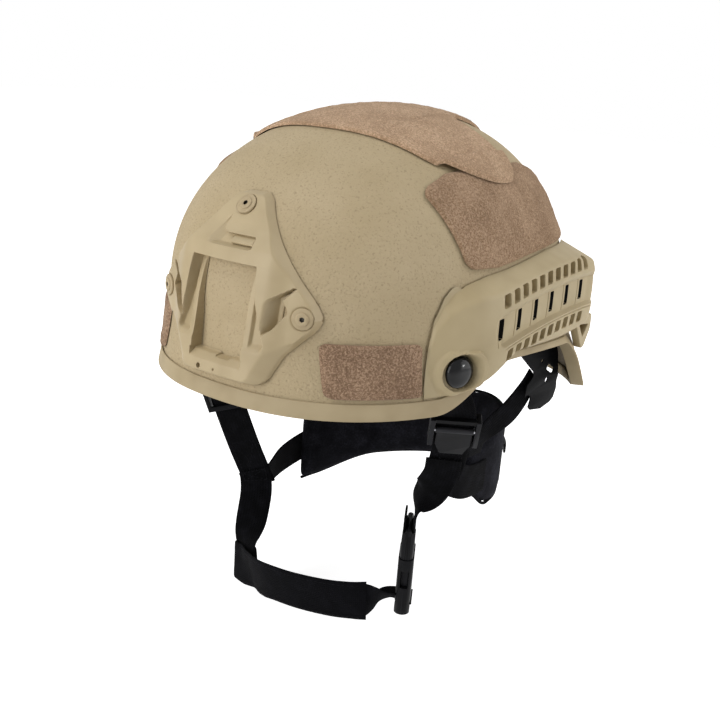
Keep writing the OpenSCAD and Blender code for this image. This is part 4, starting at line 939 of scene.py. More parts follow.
def outlineDistance(x, z, outline):
    # signed distance from a closed outline, below zero inside
    p = np.asarray(outline, float)
    q = np.roll(p, -1, 0)
    near, inside = np.full(x.shape, 1e9), np.zeros(x.shape, bool)
    for (ax, az), (bx, bz) in zip(p, q):
        ex, ez = bx - ax, bz - az
        t = np.clip(((x - ax) * ex + (z - az) * ez) / (ex * ex + ez * ez), 0, 1)
        near = np.minimum(near, np.hypot(x - ax - t * ex, z - az - t * ez))
        if ez != 0:
            inside ^= ((az > z) != (bz > z)) & (x < ax + (z - az) / ez * ex)
    return np.where(inside, -near, near)


def snapped(x, z, field, width):
    # moves points that lie within width of a field's zero line onto it, down the field's slope
    e = 0.05
    d = field(x, z)
    gx, gz = (field(x + e, z) - field(x - e, z)) / (2 * e), (field(x, z + e) - field(x, z - e)) / (2 * e)
    size = np.maximum(gx * gx + gz * gz, 1e-6)
    pull = np.where(np.abs(d) < width, d / size, 0)
    return x - pull * gx, z - pull * gz


def shroudFace(x, z):
    # stand-off of the shroud's front before anything is sunk into it: a plate, two lower lobes and sloped flanks
    half = along(z, shroudForm["half"])
    inset, ax = half - np.abs(x), np.abs(x)
    raised = shroudForm["stand"] - shroudForm["lobeStand"]
    plate = shroudForm["lobeStand"] + raised * smooth((46 - ax) / 14) * smooth((106 - z) / 14)
    flank = 2.6 + 0.72 * inset + 18 * smooth((z - 41) / 9)
    ends = [2.2 + 2.6 * (z - shroudForm["foot"]), 2.0 + 3 * (shroudForm["top"] - z)]
    return softMin([plate, flank, 0.9 + 3.2 * inset] + ends, 0.55)


def shroudBars(x, z, body):
    # two upright bars beside the window sink away under the face towards the top; walls slope down to them
    ax = np.abs(x)
    share = np.clip((z - 30) / 54.5, 0, 1)
    low = mix(body, shroudForm["barSunk"], share)
    edge = along(z, shroudForm["step"])
    wallShare = np.clip((ax - edge + 1.8) / 1.8, 0, 1)
    valley = shroudForm["valley"] * smooth((ax - 23.4) / 1.4) * smooth((z - 36.5) / 3)
    # the lower bar's top is bevelled towards the window
    slope = 4.2 + 1.2 * (27.4 - z) + 40 * smooth((ax - 20.4) / 1.5) + 30 * smooth((z - 28) / 2)
    bevel = softMin([body, slope], 0.25)
    stepped = softMin([body, mix(low - valley, body, wallShare) + 0.02], 0.12)
    return np.where(z < 84.9, np.where(z > 34, mix(body, stepped, smooth((z - 34) / 3)), bevel), body)


def shroudSeats(x, y, z):
    # a flat round seat under each screw, square to its axis
    for foot, turn in screwPlaces:
        axis = turned([0, 0, 1], turn=turn)
        base = np.array(foot) + shroudForm["seatOff"] * axis
        plane = (base @ axis - x * axis[0] - z * axis[2]) / axis[1]
        radius = np.sqrt(((np.stack([x, plane, z], -1) - base) ** 2).sum(-1))
        seat = smooth(0.5 - (radius - shroudForm["seatRadius"]) / 0.7)
        y = np.where(seat > 0, mix(y, np.maximum(y, plane), seat), y)
    return y


def shroudShape():
    form = shroudForm
    zs = np.concatenate([[13.5, 13.7, 14.0], np.arange(14.4, 122.4, form["grid"]), [122.6, 122.8, 123]])
    edge = np.array([0, 0.25, 0.55, 0.9, 1.4]) / 45
    us = np.concatenate([edge, np.linspace(0.04, 1 - 0.04, 232), 1 - edge[::-1]]) * 2 - 1
    halfs = along(zs, form["half"])
    halfs = np.convolve(np.pad(halfs, 4, "edge"), np.ones(9) / 9, "valid")
    x, z = halfs[:, None] * us[None], zs[:, None] + 0 * us[None]
    # the window and the upper recess stand alone; the pockets and the holes in them are on both sides
    rounding = {"window": 1.6, "pocket": 1.0, "hole": 0.6, "upper": 1.2}
    rounded = {k: roundedOutline(form[k], r) for k, r in rounding.items()}
    fields = [lambda a, b: outlineDistance(a, b, rounded["window"]),
              lambda a, b: outlineDistance(np.abs(a), b, rounded["pocket"]),
              lambda a, b: outlineDistance(np.abs(a), b, rounded["hole"]),
              lambda a, b: outlineDistance(a, b, rounded["upper"])]
    for field in fields:
        x, z = snapped(x, z, field, 0.3)
    window, pocket, hole, upper = (f(x, z) for f in fields)
    body = shroudFace(x, z)
    floor = form["floor"] * np.ones_like(body)
    off = shroudBars(x, z, body)
    off = mix(off, floor, smooth(0.5 - (window + 0.25) / 0.6))
    # side pockets slope down from the bar to the hole through the lobe
    ramped = body - 1.45 * np.maximum(0, np.abs(x) - along(z, [[44.6, 31], [65.2, 33.4]])) - 0.6
    off = np.minimum(off, mix(body, np.maximum(ramped, 0.9), smooth(0.5 - pocket / 0.6)))
    off = np.minimum(off, mix(body, floor, smooth(0.5 - (hole + 0.25) / 0.6)))
    # upper recess: its floor falls away from the outer edge, and a round pin lies along its lower leg
    pinZ, pinR, pinRise = form["pin"]
    holeX, holeZ, holeR = form["pinHole"]
    slope = np.clip(0.5 * (x + 16.5 + 0.55 * (93.6 - z)), 0.3, 3.6)
    pin = pinRise * np.sqrt(np.clip(1 - ((z - pinZ) / pinR) ** 2, 0, 1)) * smooth((x - 1.2) / 0.4)
    pinHole = 1.6 * smooth(holeR - np.hypot(x - holeX, z - holeZ))
    off = np.minimum(off, body - sunk(upper, 1, 0.6) * (slope - pin * (upper < -0.3)) - pinHole)
    # lanyard hole and the small dimple beside it
    lineX, lineZ, lineR = form["lanyard"]
    lanyard = np.hypot(x - lineX, z - lineZ) - lineR
    off = np.minimum(off, mix(body, floor, smooth(0.5 - (lanyard + 0.2) / 0.5)))
    off = np.minimum(off, body - 1.6 * smooth(1.4 - np.hypot(x - form["dimple"][0], z - form["dimple"][1]) / 0.6))
    y = shroudSeats(x, frontY(x, z, off), z)
    through = (window < -0.55) | (lanyard < -0.5) | (hole < -0.55)
    keep = ~(through[:-1, :-1] & through[1:, :-1] & through[:-1, 1:] & through[1:, 1:])
    y = np.minimum(y, frontY(x, z, 0.75))
    # drawn-in back, for a dark seam against the shell
    xb = x * (1 - 0.012 * np.abs(us[None]) ** 15)
    zb = np.clip(z, form["foot"] + 0.7, form["top"] - 0.8)
    return slabFaces(np.stack([x, y, z], -1), np.stack([xb, frontY(xb, zb, 0.45), zb], -1), keep=keep)


makePiece("brow_shroud", shroudShape(), shroudNylon, replaced="shroud", sharp=32)

# (radius, height) pairs along the screws' axis; the last four of a head are its hex socket
washerProfile = [[2.2, 5.05], [6.1, 5.05], [6.4, 5.2], [6.5, 5.5], [6.5, 6.1], [6.3, 6.4], [5.9, 6.55], [4.3, 6.65],
                 [2.2, 6.65]]
headProfile = [[0, -8.6], [2, -8.6], [2, 6.7], [4.1, 6.7], [4.1, 6.9], [3.95, 7.15], [3.6, 7.35], [3.0, 7.5],
               [2.3, 7.55], [1.85, 7.5], [1.6, 7.3], [1.6, 5.6], [0, 5.5]]
socketFrom, headSteps = 9, 60
washer = tubeFaces(latheRings(washerProfile), loop=True)
makePiece("shroud_washer_rings", joined([placed(washer, *spot) for spot in screwPlaces]), paintedSteel,
          replaced="shroud_washers", sharp=50)
head = tubeFaces(latheRings(headProfile, headSteps, hexFrom=socketFrom))
headPiece = makePiece("shroud_screw_heads", joined([placed(head, *spot) for spot in screwPlaces]),
                      [paintedSteel, socketPaintedShade], replaced="shroud_screws", sharp=40, merge=False)
# each head's faces are its rings from the tail up, then two caps; the socket is painted darker, as painted shade in
# the hole
oneHead = np.arange((len(headProfile) - 1) * headSteps + 2)
inSocket = (oneHead >= (socketFrom + 1) * headSteps) & (oneHead < len(oneHead) - 2)
paintFaces(headPiece, np.tile(inSocket, len(screwPlaces)))
print("shroud ready")

# Liner pads: foam in a knit cover, swollen by a short cloth simulation and held where they meet the shell

padForm = {
    "thick": 18.0,
    "crowned": 0.93,  # share of the thickness before the pad is swollen
    "voxel": 0.005,
    "pressure": 4.0,
    "cap": 0.0055,  # the furthest a point may move, in metres
    "frames": 20,
    "heldWithin": 2.5,
}


def crowning(s, t):
    # share of the thickness: full in the middle, 0.45 at the border
    return 0.45 + 0.55 * ((1 - np.abs(2 * s - 1) ** 3) * (1 - np.abs(2 * t - 1) ** 3)).clip(0) ** 0.7


def padGrid(place, cols=26, rows=20):
    # place maps (s, t, depth) to points; the pad is the solid between depth 0 and its crowned face
    s, t = np.meshgrid(np.linspace(0, 1, cols), np.linspace(0, 1, rows), indexing="ij")
    return slabFaces(place(s, t, padForm["thick"] * crowning(s, t) * padForm["crowned"]), place(s, t, 0 * s))


def wallPad(a0, a1, z0, z1):
    # pad on the shell's wall between two plan angles and two heights
    return padGrid(lambda s, t, deep: wallAt(mix(a0, a1, s), mix(z0, z1, t), insideSkin - deep))


def topPad(radius, middleY=-6):
    # round pad under the crown: a square grid drawn in to a disc
    def place(s, t, deep):
        u, v = 2 * s - 1, 2 * t - 1
        x, y = radius * v * np.sqrt(1 - u * u / 2), radius * u * np.sqrt(1 - v * v / 2) + middleY
        return np.stack([x, y, topZ(x, y, insideSkin - deep)], -1)
    return padGrid(place)


def vertexPlaces(mesh):
    places = np.empty(len(mesh.vertices) * 3, np.float32)
    mesh.vertices.foreach_get("co", places)
    return places.reshape(-1, 3)


def puffed(piece, held):
    # voxel remesh, then cloth under pressure with the held points pinned; how far a point may move is capped
    remesh = piece.modifiers.new("remesh", "REMESH")
    remesh.mode, remesh.voxel_size = "VOXEL", padForm["voxel"]
    graph = bpy.context.evaluated_depsgraph_get()
    mesh = bpy.data.meshes.new_from_object(piece.evaluated_get(graph))
    piece.modifiers.clear()
    old, piece.data = piece.data, mesh
    if not mesh.materials:
        mesh.materials.append(old.materials[0])
    bpy.data.meshes.remove(old)
    before = vertexPlaces(mesh)
    group = piece.vertex_groups.new(name="held")
    group.add(np.flatnonzero(held(before * 1000.0)).tolist(), 1.0, "REPLACE")
    cloth = piece.modifiers.new("cloth", "CLOTH")
    cloth.settings.use_pressure = True
    cloth.settings.uniform_pressure_force = padForm["pressure"]
    cloth.settings.vertex_group_mass = "held"
    cloth.settings.effector_weights.gravity = 0.0
    cloth.point_cache.frame_start, cloth.point_cache.frame_end = 1, padForm["frames"]
    scene = bpy.context.scene
    for step in range(1, padForm["frames"] + 1):
        scene.frame_set(step)
    graph = bpy.context.evaluated_depsgraph_get()
    move = vertexPlaces(piece.evaluated_get(graph).to_mesh()) - before
    piece.modifiers.clear()
    scene.frame_set(1)
    far = np.maximum(np.linalg.norm(move, axis=1, keepdims=True) / padForm["cap"], 1)
    mesh.vertices.foreach_set("co", (before + move / far).astype(np.float32).ravel())
    piece.vertex_groups.clear()
    mesh.update()
    mesh.shade_smooth()
    finer = piece.modifiers.new("finer", "SUBSURF")
    finer.levels = finer.render_levels = 1
    return piece


def nearWall(points):
    # true for points that lie against the inside of the shell
    x, y, z = points.T
    skin = insideSkin - padForm["heldWithin"]
    return (np.abs(x) - sideX(y, z, skin) > 0) | (z > topZ(x, y, skin)) & (z > 100)


padSet = {"crown_pad": topPad(58.0), "front_pad": wallPad(-105.5, -74.5, 35.5, 96.5),
          "rear_pad": wallPad(63, 117, 9.5, 82.5), "left_front_pad": wallPad(-54, -13, 53.5, 110.5),
          "left_rear_pad": wallPad(4, 49, 57.5, 110.5)}
for padName, (points, groups) in list(padSet.items()):
    if padName.startswith("left_"):
        padSet[padName.replace("left_", "right_")] = (points * [-1, 1, 1], groups)
for padName, shape in padSet.items():
    pad = makePiece(padName + "_cushion", shape, knit, replaced=padName)
    puffed(pad, nearWall)
print("liner pads ready")

# Nape pad: a long crowned cushion bent round the neck, with piping on both edges

napeForm = {
    "centreY": 20.0,
    "radius": 90.0,
    "thick": 13.0,
    "lean": 0.2,
    "top": -56.0,
    "foot": -120.0,
    "left": 32.0,  # how far each end runs on past a quarter turn
    "right": 2.0,
    "inset": 1.5,
    "heldWithin": 3.2,
    "pipingInset": 2.9,
    "pipingAt": 87.6,
    "pipingRadius": 1.2,
    "pipingEnds": (-6, 25),
}
quarter = napeForm["radius"] * np.pi / 2


def napeAt(s, z, r):
    # place along the neck, height and radius to a point; past a quarter turn the band runs straight forwards
    turn = np.minimum(np.abs(s), quarter) / napeForm["radius"]
    x = np.sign(s) * r * np.sin(turn)
    y = napeForm["centreY"] + r * np.cos(turn) - np.maximum(0, np.abs(s) - quarter)
    return np.stack([x, y, z + napeForm["lean"] * x], -1)


def napeTop(s):
    # the upper edge drops in two steps towards the ends
    return napeForm["top"] - 4 * smooth((np.abs(s) - 40) / 60) - 14 * smooth((np.abs(s) - 120) / 50)


def napeFoot(s):
    # the lower edge drops beside the neck and climbs again at the ends
    return napeForm["foot"] - 9 * smooth((np.abs(s) - 60) / 60) + 20 * smooth((np.abs(s) - 135) / 35)


def napeShape():
    form, inset = napeForm, napeForm["inset"]
    s, t = np.meshgrid(np.linspace(0, 1, 90), np.linspace(0, 1, 24), indexing="ij")
    p = mix(-(quarter + form["right"]) + inset, quarter + form["left"] - inset, s)
    crown = 0.35 + 0.65 * ((1 - np.abs(2 * s - 1) ** 8) * (1 - np.abs(2 * t - 1) ** 4)).clip(0) ** 0.6
    z = mix(napeFoot(p) + inset, napeTop(p) - inset, t)
    return slabFaces(napeAt(p, z, form["radius"] - form["thick"] * crown * 0.92), napeAt(p, z, form["radius"] - 0.2))


def outsideNape(points):
    # true for points on the pad's outer face
    x, y, z = points.T
    y = y - napeForm["centreY"]
    return np.where(y > 0, np.hypot(x, y), np.abs(x)) > napeForm["radius"] - napeForm["heldWithin"]


def roundTube(path, radius, count=10):
    # tube of even radius along a path of points
    run = unit(np.gradient(path, axis=0))
    up = unit(np.cross(run, np.array([0.31, 0.17, 0.94])))
    out = np.cross(up, run)
    turn = np.linspace(0, 2 * np.pi, count, endpoint=False)[None, :, None]
    return path[:, None] + radius * (np.cos(turn) * up[:, None] + np.sin(turn) * out[:, None])


def napePiping(edge, inset):
    s = np.linspace(-(quarter + napeForm["pipingEnds"][0]), quarter + napeForm["pipingEnds"][1], 160)
    path = napeAt(s, edge(s) + inset, napeForm["pipingAt"] + 0 * s)
    return tubeFaces(roundTube(path, napeForm["pipingRadius"]))


nape = makePiece("nape_cushion", napeShape(), knit, replaced="nape_pad")
puffed(nape, outsideNape)
piping = [napePiping(napeTop, -napeForm["pipingInset"]), napePiping(napeFoot, napeForm["pipingInset"])]
makePiece("nape_piping", joined(piping), strapWeb)
print("nape pad ready")

# Straps: webbing carried along smooth lines, with the direction across it given at every point

webForm = {"wide": 25.0, "narrow": 20.0, "thick": 1.6, "chinWide": 32.0, "chinThick": 2.4}


def curveThrough(points, count):
    # smooth line through the points: a cubic between each two, steered by their neighbours
    p = np.asarray(points, float)
    ext = np.concatenate([p[:1], p, p[-1:]])
    t = np.linspace(0, 1, count, endpoint=False)[:, None]
    spans = [0.5 * (2 * b + (c - a) * t + (2 * a - 5 * b + 4 * c - d) * t**2 + (3 * b - a - 3 * c + d) * t**3)
             for a, b, c, d in zip(ext[:-3], ext[1:-2], ext[2:-1], ext[3:])]
    return np.concatenate(spans + [p[-1:]])


def ribbonFrame(route, across, count=12):
    # middle line of a ribbon, with the directions across it and out of its face at every point
    p, d = curveThrough(route, count), curveThrough(across, count)
    run = unit(np.gradient(p, axis=0))
    up = unit(np.cross(run, d))
    return p, np.cross(up, run), up


def lengthAlong(path):
    # length run from the start, at every point
    return np.concatenate([[0], np.cumsum(np.linalg.norm(np.diff(path, axis=0), axis=1))])


def ribbonShape(route, across, wide, thick, count=12):
    # flat section with rounded selvedges carried along the route; returns the shape and its map in millimetres
    p, side, up = ribbonFrame(route, across, count)
    u = np.concatenate([[-1, -0.985, -0.95], np.linspace(-0.88, 0.88, 13), [0.95, 0.985, 1]])
    high = np.sqrt(np.maximum(0, 1 - np.abs(u) ** 14)) * 0.5
    u, high = np.concatenate([u, u[-2:0:-1]]), np.concatenate([high, -high[-2:0:-1]])
    length = lengthAlong(p)
    half = (along(length / length[-1], wide) if isinstance(wide, list) else wide + 0 * length) / 2
    over = u[None] * half[:, None]
    rings = p[:, None] + side[:, None] * over[..., None] + up[:, None] * (high[None] * thick)[..., None]
    uv = np.stack(np.broadcast_arrays(over, length[:, None]), -1).reshape(-1, 2)
    return tubeFaces(rings), uv


def ribbonPiece(name, specs, material, replaced):
    # one piece from one or more ribbons
    made = [ribbonShape(*spec) for spec in specs]
    return makePiece(name, joined([m[0] for m in made]), material, replaced=replaced, sharp=60,
                     uv=np.concatenate([m[1] for m in made]))


# each route's points, then the direction across the webbing at each of them
wallAcross, farWallAcross, viewAcross = [0.33, 0.94, 0], [-0.33, 0.94, 0], [0.819, 0.574, 0]
strapRoutes = {
    "left_front": (
        [[101.5, -90.7, 40], [103.7, -85.3, 26], [105.4, -77, 8], [104.14, -61.91, -12], [100, -56, -24],
         [95.86, -50.09, -36], [91, -44.5, -52], [87, -43, -66]],
        [wallAcross, wallAcross, [0.3, 0.95, 0]] + [viewAcross] * 5),
    "right_front": (
        [[-101.5, -90.7, 40], [-103.7, -85.3, 26], [-105.2, -78, 6], [-103.6, -71, -14], [-100.64, -64.66, -36.9],
         [-99, -60, -50], [-97.36, -55.34, -63.1], [-91.5, -43, -98], [-85, -30, -131]],
        [farWallAcross, farWallAcross, [-0.2, 0.98, 0], [0.5, 0.87, 0]] + [viewAcross] * 5),
    "left_rear": (
        [[84, -41.2, -65], [87.3, -32.5, -70], [90.6, -18, -77], [91.2, -2, -80], [91.2, 12, -80]],
        [[0.4, 0.4, 0.82], [0.2, 0.35, 0.92], [0, 0.15, 1], [0, 0, 1], [0, 0, 1]]),
    "right_rear": (
        [[-86.6, -26.8, -130], [-88, -16, -127], [-90, 0, -121], [-91.2, 18, -118], [-91.2, 34, -116]],
        [[0.25, 0.15, 0.95], [0.15, 0.15, 0.95], [0.05, 0.1, 1], [0, 0, 1], [0, 0, 1]]),
    "left_plate": (
        [[110, 33, -4], [109.2, 25.5, -13], [104.8, 13, -27.5], [98.5, 0, -38], [92.6, -7, -49], [91.2, -8, -59]],
        [[0, 0.8, -0.6], [0.1, 0.8, -0.6], [0.25, 0.8, -0.5], [0.25, 0.9, -0.4], [0.1, 1, -0.1], [0, 1, 0]]),
    "right_plate": (
        [[-110.4, 33, -4], [-109.6, 25.5, -13], [-105.6, 22, -30], [-99.5, 23, -52], [-93, 26, -72],
         [-91.2, 28, -88]],
        [[0, 0.8, -0.6], [0, 0.85, -0.5], [0, 1, 0], [0, 1, 0.1], [0, 1, 0.1], [0, 1, 0]]),
    "right_down": (
        [[-86.2, -37.4, -117.5], [-84.7, -36.3, -124], [-82, -38.5, -136], [-77.3, -47.5, -151.5],
         [-73, -56.5, -163.5], [-71.3, -59.3, -170.5], [-71, -59.5, -187]],
        [viewAcross, viewAcross, viewAcross, [0.88, 0.45, 0], [0.93, -0.1, 0], [0.93, -0.36, 0], [0.93, -0.36, 0]]),
}
for key, (route, across) in strapRoutes.items():
    wide = webForm["narrow"] if "plate" in key else webForm["wide"]
    ribbonPiece(key + "_webbing", [(route, across, wide, webForm["thick"])], strapWeb, key + "_strap")

# The lower strap runs down to the buckle and round the bar in its tongue

buckleForm = {"foot": (68, -47, -170), "turn": -60, "bar": 62.5, "barRadius": 2.2, "barGap": 0.35}


def bucklePoint(v, foot=buckleForm["foot"]):
    # from the buckle's own directions, with its foot as origin, to the helmet's
    return turned(v, foot, (0, 0, buckleForm["turn"]))


loopR, barZ = buckleForm["barRadius"] + buckleForm["barGap"] + webForm["thick"] / 2, buckleForm["bar"]
barAcross = bucklePoint([1, 0, 0], (0, 0, 0))
roundBar = [(loopR + 1, 20), (loopR, 8), (loopR, 0), (loopR * 0.7, -loopR * 0.7), (0, -loopR),
            (-loopR * 0.7, -loopR * 0.7), (-loopR, 0), (-loopR, 9)]
lowerRoute = ([[90.5, -48, -51], [88.5, -46.8, -62], [82, -46.5, -76]]
              + [bucklePoint([0, a, barZ + b]) for a, b in roundBar])
lowerAcross = [viewAcross, viewAcross, [0.97, 0.2, 0], [0.8, -0.6, 0]] + [barAcross] * 7
shape, uv = ribbonShape(lowerRoute, lowerAcross, webForm["wide"] - 0.5, webForm["thick"], 8)
lowerWeb = makePiece("left_lower_webbing", shape, strapWeb, replaced="left_lower_strap", sharp=60,
                     uv=uv)
lowerWeb.parent = None  # it rides on neither body
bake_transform(lowerWeb)

# Chin band, and the narrower tab that joins it to the buckle's socket

chinRoute = [[-58, -61.9, -183], [-70, -57, -186], [-81.2, -52.7, -187.5], [-84.8, -54.3, -187.7],
             [-83.2, -57.7, -187.5], [-72, -62, -186], [-58, -68.4, -182.5], [-44, -77, -179], [-27, -84, -174],
             [0, -87, -169.5], [27, -84, -166], [44, -77.5, -164.3], [53, -71.5, -163.6]]
chinAcross = [[0, 0, 1]] * 6 + [[-0.08, -0.2, 1]] * 6 + [[0, -0.1, 1]]
tabRoute = ([[41, -78.2, -164.4], [50, -72.4, -164], [56.5, -65.5, -163.6], [60, -59.5, -163.4]]
            + [bucklePoint([0, v, 6]) for v in (-7.5, 0, 6.5)])
tabAcross = [[0, -0.1, 1], [0.05, -0.15, 1], [0.25, -0.4, 0.85], [0.42, -0.72, 0.5]] + [barAcross] * 3
tabWide = [[0, 30], [0.3, 30], [0.6, 25], [0.8, 21], [1, 21]]  # width against the share of its length
ribbonPiece("chin_webbing", [(chinRoute, chinAcross, webForm["chinWide"], webForm["chinThick"], 9),
                             (tabRoute, tabAcross, tabWide, webForm["thick"], 9)], chinWeb, "chin_band")

# Stitches: rows of thread on both faces of the chin band, and a crossed box at the ends of the straps

stitchForm = {"pitch": 3.4, "length": 2.5, "thick": 0.5, "off": 0.05, "boxShare": 0.72, "chinShare": 0.84}
sewnEnds = [("right_down", 0.02, 0.2), ("right_front", 0.86, 0.98), ("left_front", 0.82, 0.97),
            ("left_rear", 0.05, 0.25), ("right_rear", 0.05, 0.25)]


def valuesAt(at, lengths, values):
    # each column of values read off at the given lengths
    return np.stack([np.interp(at, lengths, values[:, k]) for k in range(3)], 1)


def stitchShape(path, up):
    # a row of thread stitches: small rounded bars set end to end along a path, half sunk in the cloth
    gone = lengthAlong(path)
    at = np.arange(stitchForm["pitch"] / 2, gone[-1], stitchForm["pitch"])
    spot, lift = valuesAt(at, gone, path), unit(valuesAt(at, gone, up))
    run = unit(valuesAt(at + 0.5, gone, path) - valuesAt(at - 0.5, gone, path))
    side = np.cross(run, lift)
    ends = np.linspace(-1, 1, 5)[None, :, None, None]
    turn = np.linspace(0, 2 * np.pi, 6, endpoint=False)[None, None, :, None]
    r = stitchForm["thick"] * np.sqrt(np.maximum(0, 1 - ends**4)) * 0.5 + 0.02
    spot, run, side, lift = (v[:, None, None] for v in (spot, run, side, lift))
    rings = spot + run * (ends * stitchForm["length"] / 2) + r * (np.cos(turn) * side + np.sin(turn) * lift)
    return joined([tubeFaces(ring) for ring in rings])


def onFace(middle, side, up, share, wide, thick, face):
    # a place on one face of the webbing, at a share of its half width
    return middle + side * share * wide / 2 + up * face * (thick / 2 + stitchForm["off"])


def edgeStitch(route, across, start, end, share, wide, thick, face):
    # a row along the ribbon between two shares of its length
    p, side, up = ribbonFrame(route, across)
    cut = slice(int(start * (len(p) - 1)), int(end * (len(p) - 1)) + 1)
    return stitchShape(onFace(p[cut], side[cut], up[cut], share, wide, thick, face), up[cut] * face)


def boxStitch(route, across, start, end, wide, thick, face):
    # a sewn box with a cross in it, as where two layers of webbing are joined
    p, side, up = ribbonFrame(route, across)
    i, j, share = int(start * (len(p) - 1)), int(end * (len(p) - 1)), stitchForm["boxShare"]
    corners = [onFace(p[k], side[k], up[k], s, wide, thick, face)
               for k, s in ((i, -share), (i, share), (j, share), (j, -share))]
    lifts = np.repeat((up[i] * face)[None], 12, 0)
    return [stitchShape(np.linspace(corners[a], corners[b], 12), lifts)
            for a, b in ((0, 1), (1, 2), (2, 3), (3, 0), (0, 2), (1, 3))]


stitches = [edgeStitch(chinRoute, chinAcross, 0.4, 0.97, share, webForm["chinWide"], webForm["chinThick"], face)
            for share in (stitchForm["chinShare"], -stitchForm["chinShare"]) for face in (1, -1)]
for key, start, end in sewnEnds:
    for face in (1, -1):
        stitches += boxStitch(*strapRoutes[key], start, end, webForm["wide"], webForm["thick"], face)
makePiece("harness_stitches", joined(stitches), blackThread, merge=False)
print("harness ready")

# Size dial's knob: a lathe form with twelve rounded lobes round its skirt

knobForm = {"across": 34.0, "base": 98.6, "bore": 2.6, "lobes": 12, "lobeDeep": 1.15, "axis": (0, 20, -88)}


def knobShape():
    # each ring's radius grows and shrinks with |cos(lobes / 2 * angle)|, as much as its weight says
    r, z0, bore = knobForm["across"] / 2, knobForm["base"], knobForm["bore"]
    profile = [[bore, z0], [r - 0.6, z0], [r, z0 + 0.5], [r, z0 + 1.6], [r - 0.5, z0 + 2], [r - 1.2, z0 + 2.4],
               [r - 1.2, z0 + 6.8], [r - 1.6, z0 + 7.8], [r - 2.8, z0 + 8.7], [r - 4.4, z0 + 9], [r - 5.6, z0 + 8.8],
               [r - 6.1, z0 + 8.2], [r - 6.3, z0 + 5.5], [r - 6.8, z0 + 5.1], [bore, z0 + 5]]
    weight = np.array([0, 0, 0, 0, 0, 0.6, 1, 1, 0.7, 0.2, 0, 0, 0, 0, 0])[:, None]

    def lobes(turn):
        wave = np.abs(np.cos(turn * knobForm["lobes"] / 2)) ** 0.6 - 0.9
        return weight * (knobForm["lobeDeep"] * wave)[None]

    return tubeFaces(latheRings(profile, 168, lobes=lobes), loop=True)


makePiece("size_knob", placed(knobShape(), knobForm["axis"], (-90, 0, 0)), blackAcetal, body="dial",
          replaced="dial_knob", sharp=35)

# Perforated hanger plates: thin enough for their holes to show light at a slant

hangerForm = {
    "outline": [[-7, 0], [-24, -18], [-26.5, -25], [2, -43], [3, -46.5], [-5, -52], [-4.9, -62], [-3.5, -60.2],
                [-0.9, -59.8], [4, -61.5], [6.4, -64], [5.1, -70.8], [9.7, -74], [29, -78], [45, -76.5], [50, -74],
                [52, -66.8], [49.5, -60], [50.5, -56], [40, -36], [18, -8], [7, 0], [6.3, 3.2], [4.2, 5.6], [0, 7],
                [-4.2, 5.6], [-6.3, 3.2]],
    "spots": [[0, 0, 4.5], [13.4, -37, 2.9], [28.6, -54.9, 3.9]],  # middle and diameter of each round hole
    "oval": [[26.8, -44.6], [36, -49], 4.4],
    "thick": 0.8,
    "bevel": 0.2,
    "sunk": wall + 1.9 + 0.9,  # middle of the plate under the shell's face: wall, clearance, half the CAD plate
    "lean": 5,
    "turn": 1.5,
    "screwY": 22.0,
    "screwZ": 44.0,
}


def arcLine(x, y, d, start, end, count):
    # points on an arc of diameter d, between two angles in degrees
    turn = np.radians(np.linspace(start, end, count))
    return np.stack([x + d / 2 * np.cos(turn), y + d / 2 * np.sin(turn)], 1)


def hangerShape(mirrored):
    # plate with round holes and one oval, stood on edge inside the shell under the rail's rear screw
    form = hangerForm
    (ax, ay), (bx, by), d = form["oval"]
    lie = math.degrees(math.atan2(by - ay, bx - ax))
    oval = np.concatenate([arcLine(ax, ay, d, lie + 90, lie + 270, 12), arcLine(bx, by, d, lie - 90, lie + 90, 12)])
    holes = [arcLine(*spot, 0, 330, 23) for spot in form["spots"]]
    flat = flatShape([roundedOutline(form["outline"], 0.7, 3), oval] + holes, form["thick"], form["bevel"],
                     -form["thick"] / 2)
    lengthwise = placed(flat, (0, 0, 0), (0, 0, 90))
    leaned = placed(lengthwise, (0, 0, -form["sunk"]), (0, form["lean"], 0))
    screw = (float(sideX(form["screwY"], form["screwZ"])), form["screwY"], form["screwZ"])
    return placed(leaned, screw, (0, 90, form["turn"]), mirrored)


for sideName, mirrored in (("left", False), ("right", True)):
    makePiece(sideName + "_hanger", hangerShape(mirrored), hangerCoat, replaced=sideName + "_hanger_plate",
              sharp=40)

# CAD nodes that stay, with their material and the width of their rounded edges in metres

keptNodes = [
    (blackAcetal, 0.0004, ["dial_housing", "left_band_arm", "right_band_arm", "left_adjuster_frame",
                           "right_adjuster_frame", "buckle_tongue", "buckle_socket"]),
    (leverAcetal, 0.0003, ["left_adjuster_lever", "right_adjuster_lever"]),
    (darkSteel, 0.0, ["rail_front_nuts", "rail_rear_screws", "shroud_nuts", "dial_screw", "dial_pinion"]),
    (brightPin, 0.0, ["left_adjuster_pin", "right_adjuster_pin"]),
]
for material, bevelWidth, names in keptNodes:
    for name in names:
        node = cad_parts[name]
        node.data.materials.clear()
        node.data.materials.append(material)
        if bevelWidth:
            weld = node.modifiers.new("weld", "WELD")
            weld.merge_threshold = 1e-5
            bevel = node.modifiers.new("bevel", "BEVEL")
            bevel.width, bevel.segments, bevel.limit_method = bevelWidth, 2, "ANGLE"
            bevel.angle_limit = math.radians(40)
            bevel.use_clamp_overlap = True
print("kept nodes ready")

# Camera: at the photograph's place, 50 mm lens

view = {"turn": 34.8, "tilt": 17.03, "roll": 4.32, "away": 744.2, "aimX": -14.5, "aimZ": -13.0, "lens": 50.0,
        "sensor": 36.0}


